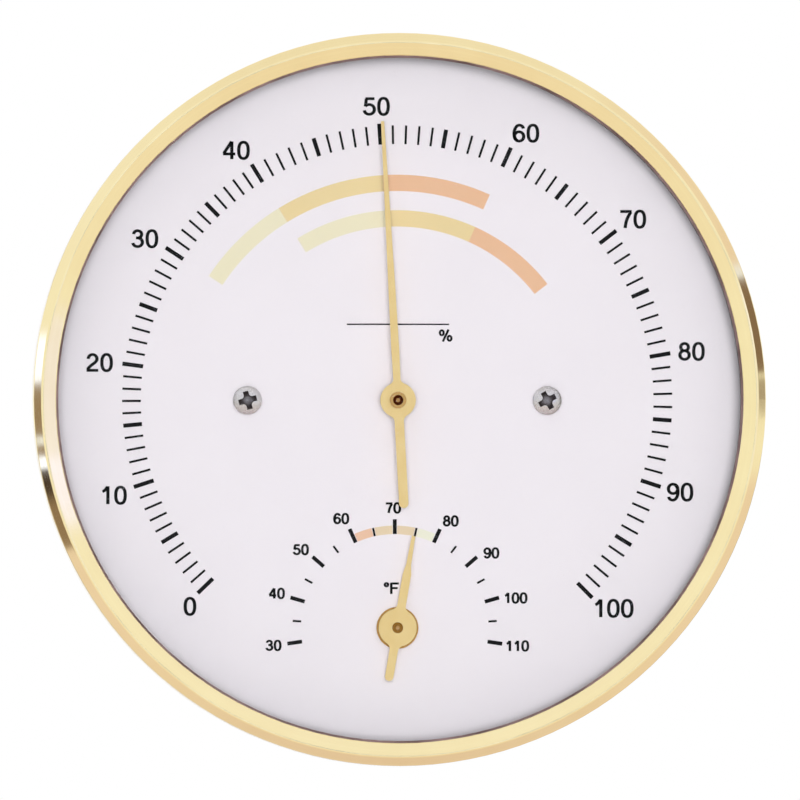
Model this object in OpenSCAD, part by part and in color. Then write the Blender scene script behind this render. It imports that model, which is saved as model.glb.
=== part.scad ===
// Round brass wall hygrometer with a small thermometer on the same dial.
// A bundle of synthetic hair turns the long pointer through a toothed sector
// and a pinion. A bimetal coil turns the short pointer.
// Lengths are millimetres. The wall is the plane Y = 0, the dial faces -Y and
// +Z is up. Each module is drawn lying on the wall, with the viewer on its +Z
// side, and upright() then stands it up.

/* [Case] */
// Diameter over the bezel ring, the widest size
bezel_d = 103; // [100:0.5:112]
// Depth from the wall to the front of the bezel ring
case_depth = 32; // [31:0.5:40]
// Sheet thickness of the tube and of the back cover
case_wall = 0.8; // [0.6:0.05:1]
// Height of the back cover's rim inside the tube
cover_rim_h = 5; // [4.4:0.2:6]

/* [Bezel ring] */
// Wall of the skirt that grips the tube
skirt_t = 1.05; // [0.9:0.05:1.4]
// Length of the skirt, from the front
skirt_h = 7.5; // [5:0.5:9]
// Width of the front face
face_w = 2; // [1.6:0.1:2.6]
// How far the front face falls towards the glass
face_drop = 0.6; // [0.2:0.1:0.9]
// Width of the bevel outside the front face
bevel_w = 1.2; // [0.8:0.1:1.4]
// Thickness of the lip over the glass
lip_t = 1.4; // [1:0.1:1.8]

/* [Glass and dial] */
// Thickness of the glass
glass_t = 2; // [1.5:0.1:2.5]
// Thickness of the soft ring between lip and glass
gasket_t = 0.4; // [0.3:0.05:0.6]
// How far the soft ring shows inside the lip
gasket_peek = 0.3; // [0.05:0.05:0.3]
// Height of the ring that keeps the glass off the dial
dial_gap = 6.4; // [5.4:0.2:7]
// Thickness of the dial sheet
dial_t = 0.8; // [0.5:0.1:1]
// Width of the seat ring under the dial's edge
seat_w = 3; // [2:0.25:4]
// Height of the seat ring
seat_h = 2.4; // [1.6:0.2:3]
// Thickness of the printed ink
ink_t = 0.05; // [0.04:0.01:0.1]

/* [Humidity scale] */
// Radius where the ticks begin
tick_r = 36.1; // [35:0.1:37]
// Length of the one and five percent ticks
tick_l = 2.65; // [2:0.05:2.8]
// Length of the ten percent ticks
long_tick_l = 2.95; // [2.85:0.05:3.4]
// Width of the one percent ticks
tick_w = 0.32; // [0.15:0.01:0.34]
// Width of the five percent ticks
five_tick_w = 0.58; // [0.32:0.02:0.6]
// Width of the ten percent ticks
ten_tick_w = 0.58; // [0.32:0.02:0.6]
// Inner radius of the outer colour band
outer_band_r = 29.5; // [29:0.1:31]
// Step from the inner colour band to the outer one
band_step = 5; // [3:0.1:5.5]
// Width of both colour bands
band_w = 2.3; // [1.8:0.1:2.6]

/* [Humidity pointer] */
// Humidity that the pointer shows, in percent
humidity = 50.2; // [50:0.1:51]
// Length from the axis to the tip
pointer_tip = 39.3; // [38:0.1:42]
// Length from the axis to the end of the tail
pointer_tail = 15.2; // [13:0.2:16]
// Width of the blade at its hub
pointer_root_w = 0.95; // [0.8:0.05:1.2]
// Width of the blade where it is widest
pointer_wide_w = 1.12; // [1:0.02:1.4]
// Distance from the axis to the widest place
pointer_wide_at = 7; // [5:0.5:12]
// Width of the blade at its tip
pointer_tip_w = 0.44; // [0.2:0.02:0.6]
// Width of the tail
pointer_tail_w = 1.32; // [1.1:0.02:1.5]
// Diameter of the pointer's hub
pointer_hub_d = 5; // [4.6:0.1:5.6]
// Thickness of both pointers
pointer_t = 0.35; // [0.25:0.05:0.5]
// Height of the pointer above the dial
pointer_height = 2.6; // [2.3:0.1:3]

/* [Thermometer] */
// Distance of the thermometer's axis below the main axis
thermo_drop = 32; // [31:0.1:33]
// Temperature that the pointer shows, in degrees Fahrenheit
temperature = 74; // [72:0.1:76]
// Turn of the pointer for one degree Fahrenheit
degrees_per_f = 2.46; // [2.4:0.01:2.5]
// How far the printed temperature scale sits to the left of its axis
thermo_scale_left = 0.35; // [0:0.05:0.5]
// Radius where the temperature ticks begin
thermo_tick_r = 13.2; // [12.8:0.1:13.6]
// Length of the ten degree ticks
thermo_tick_l = 2.1; // [1.8:0.1:2.4]
// Length of the five degree ticks and width of the colour band
thermo_half_l = 1.2; // [1:0.1:1.4]
// Length from the thermometer's axis to its pointer's tip
thermo_tip = 13.1; // [12:0.1:13.1]
// Length of the thermometer pointer's tail
thermo_tail = 7.6; // [7:0.1:8]
// Width of the blade and of the tail
thermo_blade_w = 1.2; // [1:0.05:1.4]
// Distance from the axis to where the thermometer's blade starts to narrow
thermo_shoulder_at = 7.6; // [7:0.2:10]
// Length over which the thermometer's blade narrows to the needle
thermo_shoulder_l = 1.4; // [0.2:0.2:1.8]
// Width of the needle beyond the shoulder
thermo_needle_w = 0.7; // [0.35:0.05:0.7]
// Width of the needle at its tip
thermo_tip_w = 0.5; // [0.2:0.02:0.6]
// Diameter of the thermometer pointer's hub
thermo_hub_d = 5.35; // [5:0.05:5.6]
// Height of the thermometer pointer above the dial
thermo_height = 1.2; // [1.1:0.05:1.5]
// Thickness of the bimetal strip
bimetal_t = 0.3; // [0.2:0.02:0.4]
// Width of the bimetal strip
bimetal_w = 4; // [3:0.1:4.4]
// Spacing of the bimetal coil's turns
bimetal_pitch = 1.4; // [1.2:0.05:1.5]
// Turns of the bimetal coil
bimetal_turns = 5.5; // [4.5:1:5.5]

/* [Fasteners] */
// Distance of each dial screw from the main axis
screw_x = 21.1; // [20.5:0.1:22]
// Thread diameter of the screws
screw_d = 2; // [1.8:0.1:2.2]
// Head diameter of the dial screws
dial_head_d = 4; // [3.8:0.1:4.4]
// Head height of the dial screws
dial_head_h = 1.6; // [1.3:0.1:1.8]
// Turn of the cross in the left dial screw, in degrees
left_cross_turn = 15; // [0:1:44]
// Turn of the cross in the right dial screw, in degrees
right_cross_turn = 28; // [0:1:44]

/* [Movement] */
// Distance from the back of the dial to the front plate
dial_spacer_h = 3; // [2.6:0.1:3.4]
// Thickness of the two movement plates
plate_t = 1; // [0.8:0.05:1.2]
// Distance between the two movement plates
plate_gap = 8; // [7.8:0.1:8.4]
// Diameter of the pillars between the plates
pillar_d = 4; // [3.6:0.1:4.6]
// Gear module
gear_module = 0.3; // [0.29:0.002:0.31]
// Teeth on the pinion
pinion_teeth = 12; // [12:1:12]
// Teeth on a full wheel of the sector's radius
wheel_teeth = 120; // [120:12:120]
// Teeth cut on the sector, an odd number
sector_teeth = 13; // [13:2:15]
// Thickness of the sector
sector_t = 1; // [0.8:0.05:1.2]
// Face width of the pinion
pinion_w = 2.2; // [1.8:0.1:2.4]
// Diameter of the arbors between their pivots
arbor_d = 1.6; // [1.4:0.05:1.7]
// Distance of the hair's pin from the sector's axis
hook_r = 2.4; // [2.3:0.05:2.8]
// Distance of the adjusting spindle's axis from the inside of the tube
adjuster_inset = 6.8; // [6.2:0.1:8.4]
// Diameter of the adjusting spindle
spindle_d = 3; // [2.6:0.1:3.2]
// Distance of the hair's pin from the spindle's axis
crank_r = 1.2; // [1:0.05:1.4]
// Number of hair strands
hair_strands = 5; // [3:2:5]
// Diameter of one hair strand
hair_d = 0.24; // [0.16:0.01:0.26]
// Turns of the tension spring
spring_turns = 6; // [4:1:7]
// Spacing of the tension spring's turns
spring_pitch = 0.75; // [0.6:0.05:0.8]

/* [Wall fixing] */
// Height of the keyhole's round entry above the axis
keyhole_y = 29; // [27:0.5:30]
// Diameter of the keyhole's round entry
keyhole_d = 9; // [8.6:0.1:10]
// Width of the keyhole's slot
keyhole_slot_w = 4.6; // [4.4:0.1:5]
// Height of the slot's end above the round entry's centre
keyhole_rise = 8; // [7.5:0.5:9]
// Diameter of the hole behind the adjusting spindle
access_d = 6; // [5.9:0.1:7]
// Diameter of the air holes
vent_d = 2.6; // [2:0.1:3]

/* [Hidden] */
$fn = 64;

// Clearances
seam = 0.05;     // between fixed round parts that slide together
running = 0.02;  // around a turning pivot
tap_gap = 0.02;  // between a screw and its threaded hole
pass_gap = 0.1;  // around a screw in a plain hole
cut = 1;         // how far a cutting shape runs past a face

// Levels, from the wall outwards
lip_z = case_depth - lip_t;
glass_top_z = lip_z - gasket_t;
glass_z = glass_top_z - glass_t;
dial_z = glass_z - dial_gap;
dial_back_z = dial_z - dial_t;
front_plate_top_z = dial_back_z - dial_spacer_h;
front_plate_z = front_plate_top_z - plate_t;
back_plate_top_z = front_plate_z - plate_gap;
back_plate_z = back_plate_top_z - plate_t;
skirt_z = case_depth - skirt_h;

// Radii of the case
bezel_r = bezel_d / 2;
tube_r = bezel_r - skirt_t - seam;
tube_bore_r = tube_r - case_wall;
lip_r = bezel_r - bevel_w - face_w;
inside_r = tube_bore_r - seam;
edge_chamfer = 0.3;
crest_r = 0.5;
lip_edge_r = 0.2;

// Screws
screw_r = screw_d / 2;
screw_head_r = 1.8;
screw_head_h = 1.2;
screw_slot_w = 0.5;
screw_slot_depth = 0.6;
screw_l = 3;
dial_screw_end = 1.2;
cross_l = 2.6;
cross_w = 0.78;
cross_fillet_r = 0.45;
cross_depth = 1;
head_dome = 0.7;
cover_screw_head_h = 0.4;
cover_screw_slot_depth = 0.25;
cover_screw_head_r = 1.6;
cover_screw_l = 3.2;
cover_screw_z = cover_rim_h / 2 + case_wall / 2;
cover_screw_angles = [25, 145, 265];

// Scales: humidity against the pointer's turn from straight up, clockwise
scale_angles = [[0, -134], [30, -56.6], [40, -31.7], [90, 108.1], [100, 135.3]];
humidity_angle = lookup(humidity, scale_angles);
inner_band_r = outer_band_r - band_step;
middle_degree = 70;
lowest_degree = 30;
highest_degree = 110;
degree_step = 5;
thermo_tick_w = 0.55;
thermo_half_w = 0.3;
thermo_band_r = thermo_tick_r;
band_seam = 0.2;  // degrees between a band and the tick beside it
thermo_angle = (temperature - middle_degree) * degrees_per_f;

// Gears
pressure_angle = 25;
addendum = 0.8;
dedendum = 1.05;
backlash = 0.05;
flank_steps = 4;
pinion_r = gear_module * pinion_teeth / 2;
wheel_r = gear_module * wheel_teeth / 2;
sector_direction = 135;
sector_at = (pinion_r + wheel_r) * [cos(sector_direction), sin(sector_direction)];
sector_rim_w = 2.6;
sector_spoke_w = 2;
sector_spoke_angle = 13;
sector_hub_r = 3.6;
sector_boss_r = 1.9;
sector_boss_h = 1;
sector_drop = 0.6;
sector_z = (front_plate_z + back_plate_top_z) / 2 - sector_drop;
pinion_z = sector_z + sector_t / 2 - pinion_w / 2;

// Arbors and bushes
arbor_r = arbor_d / 2;
pivot_r = 0.5;
front_shaft_r = 0.6;
bush_r = 1.6;
bush_stand = 0.4;
end_play = 0.05;
tip_r = 0.3;

// Humidity pointer's place, its waist and its turned collet
pointer_z = dial_z + pointer_height;
blade_waist = 8;
pointer_slim_at = pointer_wide_at + blade_waist;
blade_slimming = 0.12;
pointer_slim_w = pointer_wide_w - blade_slimming;
hub_fillet_r = 0.9;
collet_r = 1.16;
collet_recess_r = 0.72;
collet_flange_r = 1.8;
collet_flange_h = 0.8;
collet_tail = 0.3;
collet_head = 0.35;
dial_hole_r = 2;

// Tension spring, on the pointer's arbor in front of the pinion
spring_t = 0.15;
spring_w = 0.8;
spring_collet_r = 1.3;
spring_seat = 0.15;
spring_in_r = spring_collet_r + spring_seat + spring_t / 2;
spring_drop = 2.2;
spring_z = front_plate_z - spring_drop;
spring_out_r = spring_in_r + spring_turns * spring_pitch;
spring_stud_r = 0.7;
spring_rim = 0.2;
spring_end_angle = -30;

// Hair, its pins and the adjusting spindle
hair_y = sector_at[1] + hook_r;
pin_r = 0.3;
pin_gap = 0.04;
ferrule_w = 1.9;
ferrule_t = 0.8;
ferrule_back = 1;
ferrule_front = 1.8;
washer_t = 0.3;
spindle_disc_r = 2.5;
spindle_disc_t = 0.8;
spindle_y = hair_y - crank_r;
spindle_at = [sqrt(pow(tube_bore_r - adjuster_inset, 2) - spindle_y * spindle_y), spindle_y];
spindle_disc_z = back_plate_top_z + washer_t;
eye_play = 0.1;
hair_z = spindle_disc_z + spindle_disc_t + eye_play + ferrule_t / 2;
pin_end = 0.4;
hair_pitch = 0.3;
spindle_end_z = 4;
clip_t = 0.5;
clip_groove = 0.4;
clip_r = 2.8;
clip_play = 0.3;
clip_z = back_plate_z - clip_play - clip_t;

// Movement plates
plate_corner_r = 3;
plate_edge = 4.9;
plate_right_x = screw_x + plate_edge;
plate_left_x = -plate_right_x;
plate_rim = 7;
plate_top_y = sector_at[1] + plate_rim;
plate_bottom_y = -plate_rim;
pillar_rim = 3;
pillar_low = 4;
pillar_offset = 0.9;
pillar_x = screw_x + pillar_offset;
pillar_setback = 10;
pillar_drop = 4.4;
pillar_r = pillar_d / 2;
arm_r = 4.9;
lug_r = 3.8;
pillars = [
    [-pillar_x, -pillar_low],
    [pillar_x, -pillar_low],
    [-pillar_x, sector_at[1] + pillar_rim],
    [spindle_at[0] - pillar_setback, hair_y - pillar_drop]
];

// Thermometer
thermo_at = [0, -thermo_drop];
thermo_scale_at = thermo_at - [thermo_scale_left, 0];
thermo_bush_r = 2;
thermo_flange_r = 2.95;
thermo_flange_h = 0.7;
thermo_bush_tail = 3.2;
bracket_t = 0.8;
bracket_r = 4.2;
bracket_w = 4;
nut_flats = 7;
nut_h = 1.6;
coil_collet_r = 1.4;
coil_collet_rim = 0.2;
coil_seat = 0.1;
coil_in_r = coil_collet_r + coil_seat + bimetal_t / 2;
coil_out_r = coil_in_r + bimetal_turns * bimetal_pitch;
coil_top_z = dial_back_z - thermo_bush_tail - end_play - coil_collet_rim;
coil_z = coil_top_z - bimetal_w;
tab_x = coil_out_r + bimetal_t / 2 + seam;
thermo_pointer_z = dial_z + thermo_height;
thermo_collet_r = 1.5;
thermo_play = 0.1;
thermo_arbor_end = 0.5;
thermo_hole_r = 0.77;

// Back cover
vent_rows = [20, 27, 34];
vent_spacing = 7;
vent_from = 205;
vent_to = 335;

brass = "#e8c878";
brass_dark = "#c9a04e";
steel = "#9a9da3";
white = "#efeaf0";

// Stands a lying shape up, so that its front faces -Y
module upright() {
    rotate([90, 0, 0]) children();
}

// A ring lying on z = 0
module ring(outer_r, inner_r, height) {
    difference() {
        cylinder(h = height, r = outer_r);
        translate([0, 0, -cut]) cylinder(h = height + 2 * cut, r = inner_r);
    }
}

// A rectangle between two corners, with round corners
module round_rect(low, high, corner_r) {
    translate(low + [corner_r, 0])
        square([high[0] - low[0] - 2 * corner_r, high[1] - low[1]]);
    translate(low + [0, corner_r])
        square([high[0] - low[0], high[1] - low[1] - 2 * corner_r]);
    for (x = [low[0] + corner_r, high[0] - corner_r], y = [low[1] + corner_r, high[1] - corner_r])
        translate([x, y]) circle(r = corner_r);
}

// A point at a distance and a turn counted clockwise from straight up
function clock(r, turn) = [r * sin(turn), r * cos(turn)];

// A point at a distance and a turn counted as in geometry
function polar(r, turn) = [r * cos(turn), r * sin(turn)];

// Angle between an involute's start and its point at this pressure angle
function involute(angle) = tan(angle) * 180 / PI - angle;

// Half the angle that a tooth covers at radius r
function tooth_half(r, pitch_r, base_r) =
    ((PI * gear_module - backlash) / 4 / pitch_r) * 180 / PI
    + involute(acos(base_r / pitch_r))
    - (r > base_r ? involute(acos(base_r / r)) : 0);

// Outline of one tooth that points along +X, from its lower root to its upper root
function tooth(pitch_r) =
    let (
        base_r = pitch_r * cos(pressure_angle),
        root_r = pitch_r - dedendum * gear_module,
        top_r = pitch_r + addendum * gear_module,
        start_r = max(base_r, root_r),
        flank = [for (i = [0 : flank_steps]) start_r + (top_r - start_r) * i / flank_steps],
        up = concat([root_r], flank),
        down = [for (i = [len(up) - 1 : -1 : 0]) up[i]]
    )
    concat(
        [for (r = up) polar(r, -tooth_half(r, pitch_r, base_r))],
        [for (r = down) polar(r, tooth_half(r, pitch_r, base_r))]
    );

// Points of the arc that rounds the corner b between a and c
function rounded(a, b, c, r, steps = 6) =
    let (
        to_a = (a - b) / norm(a - b),
        to_c = (c - b) / norm(c - b),
        half = acos(to_a * to_c) / 2,
        middle = (to_a + to_c) / norm(to_a + to_c),
        centre = b + middle * r / sin(half),
        from_turn = atan2(to_a[1], to_a[0]) + (cross(to_a, to_c) > 0 ? -90 : 90),
        sweep = (cross(to_a, to_c) > 0 ? -1 : 1) * (180 - 2 * half)
    )
    [for (i = [0 : steps]) centre + polar(r, from_turn + sweep * i / steps)];

// A list of points turned about the origin
function turned(points, turn) =
    [for (p = points) [p[0] * cos(turn) - p[1] * sin(turn), p[0] * sin(turn) + p[1] * cos(turn)]];

// A flat spiral strip, from its inner radius outwards, that ends at end_angle
module spiral(in_r, pitch, turns, strip_t, end_angle, steps = 28) {
    count = round(turns * steps);
    function radius(i) = in_r + pitch * i / steps;
    function turn(i) = end_angle - 360 * (turns - i / steps);
    inner = [for (i = [0 : count]) polar(radius(i) - strip_t / 2, turn(i))];
    outer = [for (i = [count : -1 : 0]) polar(radius(i) + strip_t / 2, turn(i))];
    polygon(concat(inner, outer));
}

// The part of a flat ring between two clockwise turns from straight up
module ring_sector(in_r, width, from_turn, to_turn) {
    reach = (in_r + width) / cos((to_turn - from_turn) / 2) + cut;
    intersection() {
        difference() {
            circle(r = in_r + width);
            circle(r = in_r);
        }
        polygon(concat([[0, 0]],
            [for (share = [0, 0.5, 1]) clock(reach, from_turn + share * (to_turn - from_turn))]));
    }
}

// A printed tick that starts at radius r
module tick(turn, r, length, width) {
    rotate(-turn) translate([-width / 2, r]) square([width, length]);
}

// A cheese-head screw with a slot; its shank points down from z = 0
module slotted_screw(shank_r, length, head_r, head_h, slot_depth) {
    difference() {
        union() {
            cylinder(h = head_h, r = head_r);
            translate([0, 0, -length]) cylinder(h = length, r = shank_r);
        }
        translate([-head_r - cut, -screw_slot_w / 2, head_h - slot_depth])
            cube([2 * (head_r + cut), screw_slot_w, slot_depth + cut]);
    }
}

// The outline of a cross recess, with a fillet in each corner between two arms
module cross_outline() {
    near = cross_w / 2;
    far = near + cross_fillet_r;
    quarter = concat(
        [[cross_l / 2, -near], [cross_l / 2, near]],
        [for (a = [270 : -15 : 180]) [far + cross_fillet_r * cos(a), far + cross_fillet_r * sin(a)]]
    );
    polygon([for (turn = [0 : 90 : 270], p = quarter)
        [p[0] * cos(turn) - p[1] * sin(turn), p[0] * sin(turn) + p[1] * cos(turn)]]);
}

// A domed screw with a cross recess; its shank points down from z = 0
module cross_screw(length, turn) {
    head_r = dial_head_d / 2;
    dome_r = (head_r * head_r + head_dome * head_dome) / (2 * head_dome);
    difference() {
        union() {
            intersection() {
                cylinder(h = dial_head_h, r = head_r);
                translate([0, 0, dial_head_h - dome_r]) sphere(r = dome_r);
            }
            translate([0, 0, -length]) cylinder(h = length, r = screw_r);
        }
        rotate(turn) translate([0, 0, dial_head_h - cross_depth])
            linear_extrude(height = cross_depth + cut) cross_outline();
    }
}

// The case's tube, open at both ends
module case_body() {
    color(brass) difference() {
        rotate_extrude() polygon([
            [tube_bore_r, 0],
            [tube_r - edge_chamfer, 0],
            [tube_r, edge_chamfer],
            [tube_r, lip_z],
            [tube_bore_r, lip_z]
        ]);
        cover_screw_holes(screw_r + pass_gap);
    }
}

// The holes for the screws that hold the back cover, through the tube's wall
module cover_screw_holes(r) {
    for (angle = cover_screw_angles)
        rotate(angle) translate([tube_r - cover_screw_l - cut, 0, cover_screw_z])
            rotate([0, 90, 0]) cylinder(h = cover_screw_l + 2 * cut, r = r);
}

// The pan that closes the tube at the wall, with the keyhole, air holes and adjusting hole
module back_cover() {
    color(brass_dark) difference() {
        cylinder(h = cover_rim_h, r = inside_r);
        translate([0, 0, case_wall]) cylinder(h = cover_rim_h, r = inside_r - case_wall);
        translate([0, keyhole_y, -cut]) cylinder(h = case_wall + 2 * cut, d = keyhole_d);
        translate([-keyhole_slot_w / 2, keyhole_y, -cut])
            cube([keyhole_slot_w, keyhole_rise, case_wall + 2 * cut]);
        translate([0, keyhole_y + keyhole_rise, -cut])
            cylinder(h = case_wall + 2 * cut, d = keyhole_slot_w);
        translate([spindle_at[0], spindle_at[1], -cut]) cylinder(h = case_wall + 2 * cut, d = access_d);
        for (row_r = vent_rows, i = [0 : row_count(row_r)])
            rotate(vent_from + (vent_to - vent_from) * i / row_count(row_r))
                translate([row_r, 0, -cut]) cylinder(h = case_wall + 2 * cut, d = vent_d);
        cover_screw_holes(screw_r + tap_gap);
    }
}

// Number of gaps between the air holes of one row
function row_count(row_r) = floor(row_r * (vent_to - vent_from) * PI / 180 / vent_spacing);

// The three screws through the tube's wall into the cover's rim
module cover_screws() {
    color(steel) for (angle = cover_screw_angles)
        rotate(angle) translate([tube_r, 0, cover_screw_z]) rotate([0, 90, 0])
            slotted_screw(screw_r, cover_screw_l, cover_screw_head_r, cover_screw_head_h,
                cover_screw_slot_depth);
}

// The polished ring that grips the tube and holds the glass down
module bezel_ring() {
    lip_in = [lip_r, lip_z];
    lip_edge = [lip_r, case_depth - face_drop];
    crest = [bezel_r - bevel_w, case_depth];
    shoulder = [bezel_r, case_depth - bevel_w];
    skirt_out = [bezel_r, skirt_z];
    color(brass) rotate_extrude() polygon(concat(
        [lip_in],
        rounded(lip_in, lip_edge, crest, lip_edge_r),
        rounded(lip_edge, crest, shoulder, crest_r),
        rounded(crest, shoulder, skirt_out, crest_r),
        [skirt_out, [tube_r + seam, skirt_z], [tube_r + seam, lip_z]]
    ));
}

// The soft ring between the bezel's lip and the glass
module lens_gasket() {
    color("#3a3833") translate([0, 0, glass_top_z]) ring(inside_r, lip_r - gasket_peek, gasket_t);
}

// The flat glass
module glass_lens() {
    color("#dfeef2", 0.3) translate([0, 0, glass_z]) cylinder(h = glass_t, r = inside_r);
}

// The ring that stands on the dial's edge and carries the glass
module spacer_ring() {
    color("#2a2a2c") translate([0, 0, dial_z]) ring(inside_r, lip_r + seam, dial_gap);
}

// The ring pressed into the tube that the dial's edge rests on
module dial_seat_ring() {
    color(brass_dark) translate([0, 0, dial_back_z - seat_h]) ring(inside_r, inside_r - seat_w, seat_h);
}

// The white dial sheet, with holes for the two axes and the two screws
module dial_plate() {
    color(white) difference() {
        translate([0, 0, dial_back_z]) cylinder(h = dial_t, r = inside_r);
        translate([0, 0, dial_back_z - cut]) {
            cylinder(h = dial_t + 2 * cut, r = dial_hole_r);
            translate(thermo_at) cylinder(h = dial_t + 2 * cut, r = thermo_bush_r + seam);
            for (side = [-1, 1])
                translate([side * screw_x, 0, 0]) cylinder(h = dial_t + 2 * cut, r = screw_r + pass_gap);
        }
    }
}

// Lays a printed shape on the dial
module printed() {
    translate([0, 0, dial_z]) linear_extrude(height = ink_t) children();
}

// One tick for each percent of humidity
module humidity_ticks() {
    color("#26232a") printed() for (percent = [0 : 100]) {
        turn = lookup(percent, scale_angles);
        if (percent % 10 == 0)
            tick(turn, tick_r, long_tick_l, ten_tick_w);
        else if (percent % 5 == 0)
            tick(turn, tick_r, tick_l, five_tick_w);
        else
            tick(turn, tick_r, tick_l, tick_w);
    }
}

// One tick for each five degrees Fahrenheit
module temperature_ticks() {
    degrees = [lowest_degree : degree_step : highest_degree];
    color("#26232a") printed() translate(thermo_scale_at) for (degree = degrees) {
        turn = (degree - middle_degree) * degrees_per_f;
        if (degree % 10 == 0)
            tick(turn, thermo_tick_r, thermo_tick_l, thermo_tick_w);
        else
            tick(turn, thermo_tick_r, thermo_half_l, thermo_half_w);
    }
}

// A band over a range of humidity, clear of the ticks
module humidity_band(in_r, from_percent, to_percent) {
    ring_sector(in_r, band_w, lookup(from_percent, scale_angles), lookup(to_percent, scale_angles));
}

// A band over five degrees, between two ticks of the temperature scale
module temperature_band(from_degree, from_w, to_w) {
    from_turn = (from_degree - middle_degree) * degrees_per_f;
    side = 180 / PI / thermo_band_r;
    translate(thermo_scale_at)
        ring_sector(thermo_band_r, thermo_half_l, from_turn + from_w / 2 * side + band_seam,
            from_turn + degree_step * degrees_per_f - to_w / 2 * side - band_seam);
}

// The pale green stretches of the three colour bands
module green_bands() {
    color("#e6e4c4") printed() {
        humidity_band(outer_band_r, 30, 40);
        humidity_band(inner_band_r, 40, 50);
        temperature_band(75, thermo_half_w, thermo_tick_w);
    }
}

// The gold stretches of the three colour bands
module gold_bands() {
    color("#ead3a2") printed() {
        humidity_band(outer_band_r, 40, 50);
        humidity_band(inner_band_r, 50, 60);
        temperature_band(65, thermo_half_w, thermo_tick_w);
        temperature_band(70, thermo_tick_w, thermo_half_w);
    }
}

// The orange stretches of the three colour bands
module orange_bands() {
    color("#ebc19c") printed() {
        humidity_band(outer_band_r, 50, 60);
        humidity_band(inner_band_r, 60, 70);
        temperature_band(60, thermo_tick_w, thermo_half_w);
    }
}

// The two domed screws that hang the movement from the dial
module dial_screws() {
    length = dial_t + dial_spacer_h + plate_t + dial_screw_end;
    color(steel) for (screw = [[-screw_x, left_cross_turn], [screw_x, right_cross_turn]])
        translate([screw[0], 0, dial_z]) cross_screw(length, screw[1]);
}

// The two tubes between the dial and the front plate
module dial_spacers() {
    color(brass_dark) for (side = [-1, 1])
        translate([side * screw_x, 0, front_plate_top_z]) ring(pillar_r, screw_r + pass_gap, dial_spacer_h);
}

// What both movement plates have in common, as a flat outline
module plate_outline() {
    round_rect([plate_left_x, plate_bottom_y], [plate_right_x, plate_top_y], plate_corner_r);
    round_rect([screw_x, pillars[3][1] - lug_r], pillars[3] + [lug_r, lug_r], plate_corner_r);
}

// The holes that both plates have: four for pillar screws and two for bushes
module plate_holes() {
    for (at = pillars) translate(at) cylinder(h = plate_t + 2 * cut, r = screw_r + pass_gap);
    for (at = [[0, 0], sector_at]) translate(at) cylinder(h = plate_t + 2 * cut, r = bush_r);
}

// The movement plate behind the dial
module front_plate() {
    color(brass) difference() {
        translate([0, 0, front_plate_z]) linear_extrude(height = plate_t) plate_outline();
        translate([0, 0, front_plate_z - cut]) {
            plate_holes();
            for (side = [-1, 1])
                translate([side * screw_x, 0]) cylinder(h = plate_t + 2 * cut, r = screw_r + tap_gap);
            translate(polar(spring_out_r, spring_end_angle))
                cylinder(h = plate_t + 2 * cut, r = spring_stud_r);
        }
    }
}

// The movement plate nearer the wall, with an arm for the adjusting spindle
module back_plate() {
    color(brass) difference() {
        translate([0, 0, back_plate_z]) linear_extrude(height = plate_t) {
            plate_outline();
            round_rect([screw_x, spindle_at[1] - arm_r], spindle_at + [arm_r, arm_r], arm_r - seam);
        }
        translate([0, 0, back_plate_z - cut]) {
            plate_holes();
            translate(spindle_at) cylinder(h = plate_t + 2 * cut, r = spindle_d / 2 + running);
        }
    }
}

// The four pillars that keep the plates apart, drilled for their screws
module plate_pillars() {
    color(brass_dark) for (at = pillars)
        translate([at[0], at[1], back_plate_top_z]) ring(pillar_r, screw_r + tap_gap, plate_gap);
}

// Four screws through each plate into the pillars
module plate_screws() {
    color(steel) for (at = pillars) {
        translate([at[0], at[1], front_plate_top_z])
            slotted_screw(screw_r, screw_l, screw_head_r, screw_head_h, screw_slot_depth);
        translate([at[0], at[1], back_plate_z]) rotate([180, 0, 0])
            slotted_screw(screw_r, screw_l, screw_head_r, screw_head_h, screw_slot_depth);
    }
}

// The pair of bushes that an arbor turns in, one in each plate
module bush_pair(front_bore_r) {
    translate([0, 0, front_plate_z - bush_stand])
        ring(bush_r, front_bore_r + running, plate_t + bush_stand);
    translate([0, 0, back_plate_z])
        ring(bush_r, pivot_r + running, plate_t + bush_stand);
}

module pointer_bushes() {
    color(brass_dark) bush_pair(front_shaft_r);
}

module sector_bushes() {
    color(brass_dark) translate(sector_at) bush_pair(pivot_r);
}

// The part of an arbor between the bushes, with its rear pivot
module arbor_body() {
    low = back_plate_top_z + bush_stand + end_play;
    high = front_plate_z - bush_stand - end_play;
    translate([0, 0, low]) cylinder(h = high - low, r = arbor_r);
    translate([0, 0, back_plate_z]) cylinder(h = low - back_plate_z, r = pivot_r);
}

// The steel arbor of the humidity pointer, which ends in the pointer's collet
module pointer_arbor() {
    shaft_top = pointer_z;
    color(steel) {
        arbor_body();
        translate([0, 0, front_plate_z - bush_stand - end_play])
            cylinder(h = shaft_top - front_plate_z + bush_stand + end_play, r = front_shaft_r);
        translate([0, 0, shaft_top]) cylinder(h = pointer_t, r = tip_r);
    }
}

// The pinion on the pointer's arbor, in mesh with the sector
module pinion() {
    step = 360 / pinion_teeth;
    color(brass) difference() {
        translate([0, 0, pinion_z]) linear_extrude(height = pinion_w)
            polygon([for (i = [0 : pinion_teeth - 1])
                each turned(tooth(pinion_r), sector_direction + (i + 0.5) * step)]);
        translate([0, 0, pinion_z - cut]) cylinder(h = pinion_w + 2 * cut, r = arbor_r);
    }
}

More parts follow.
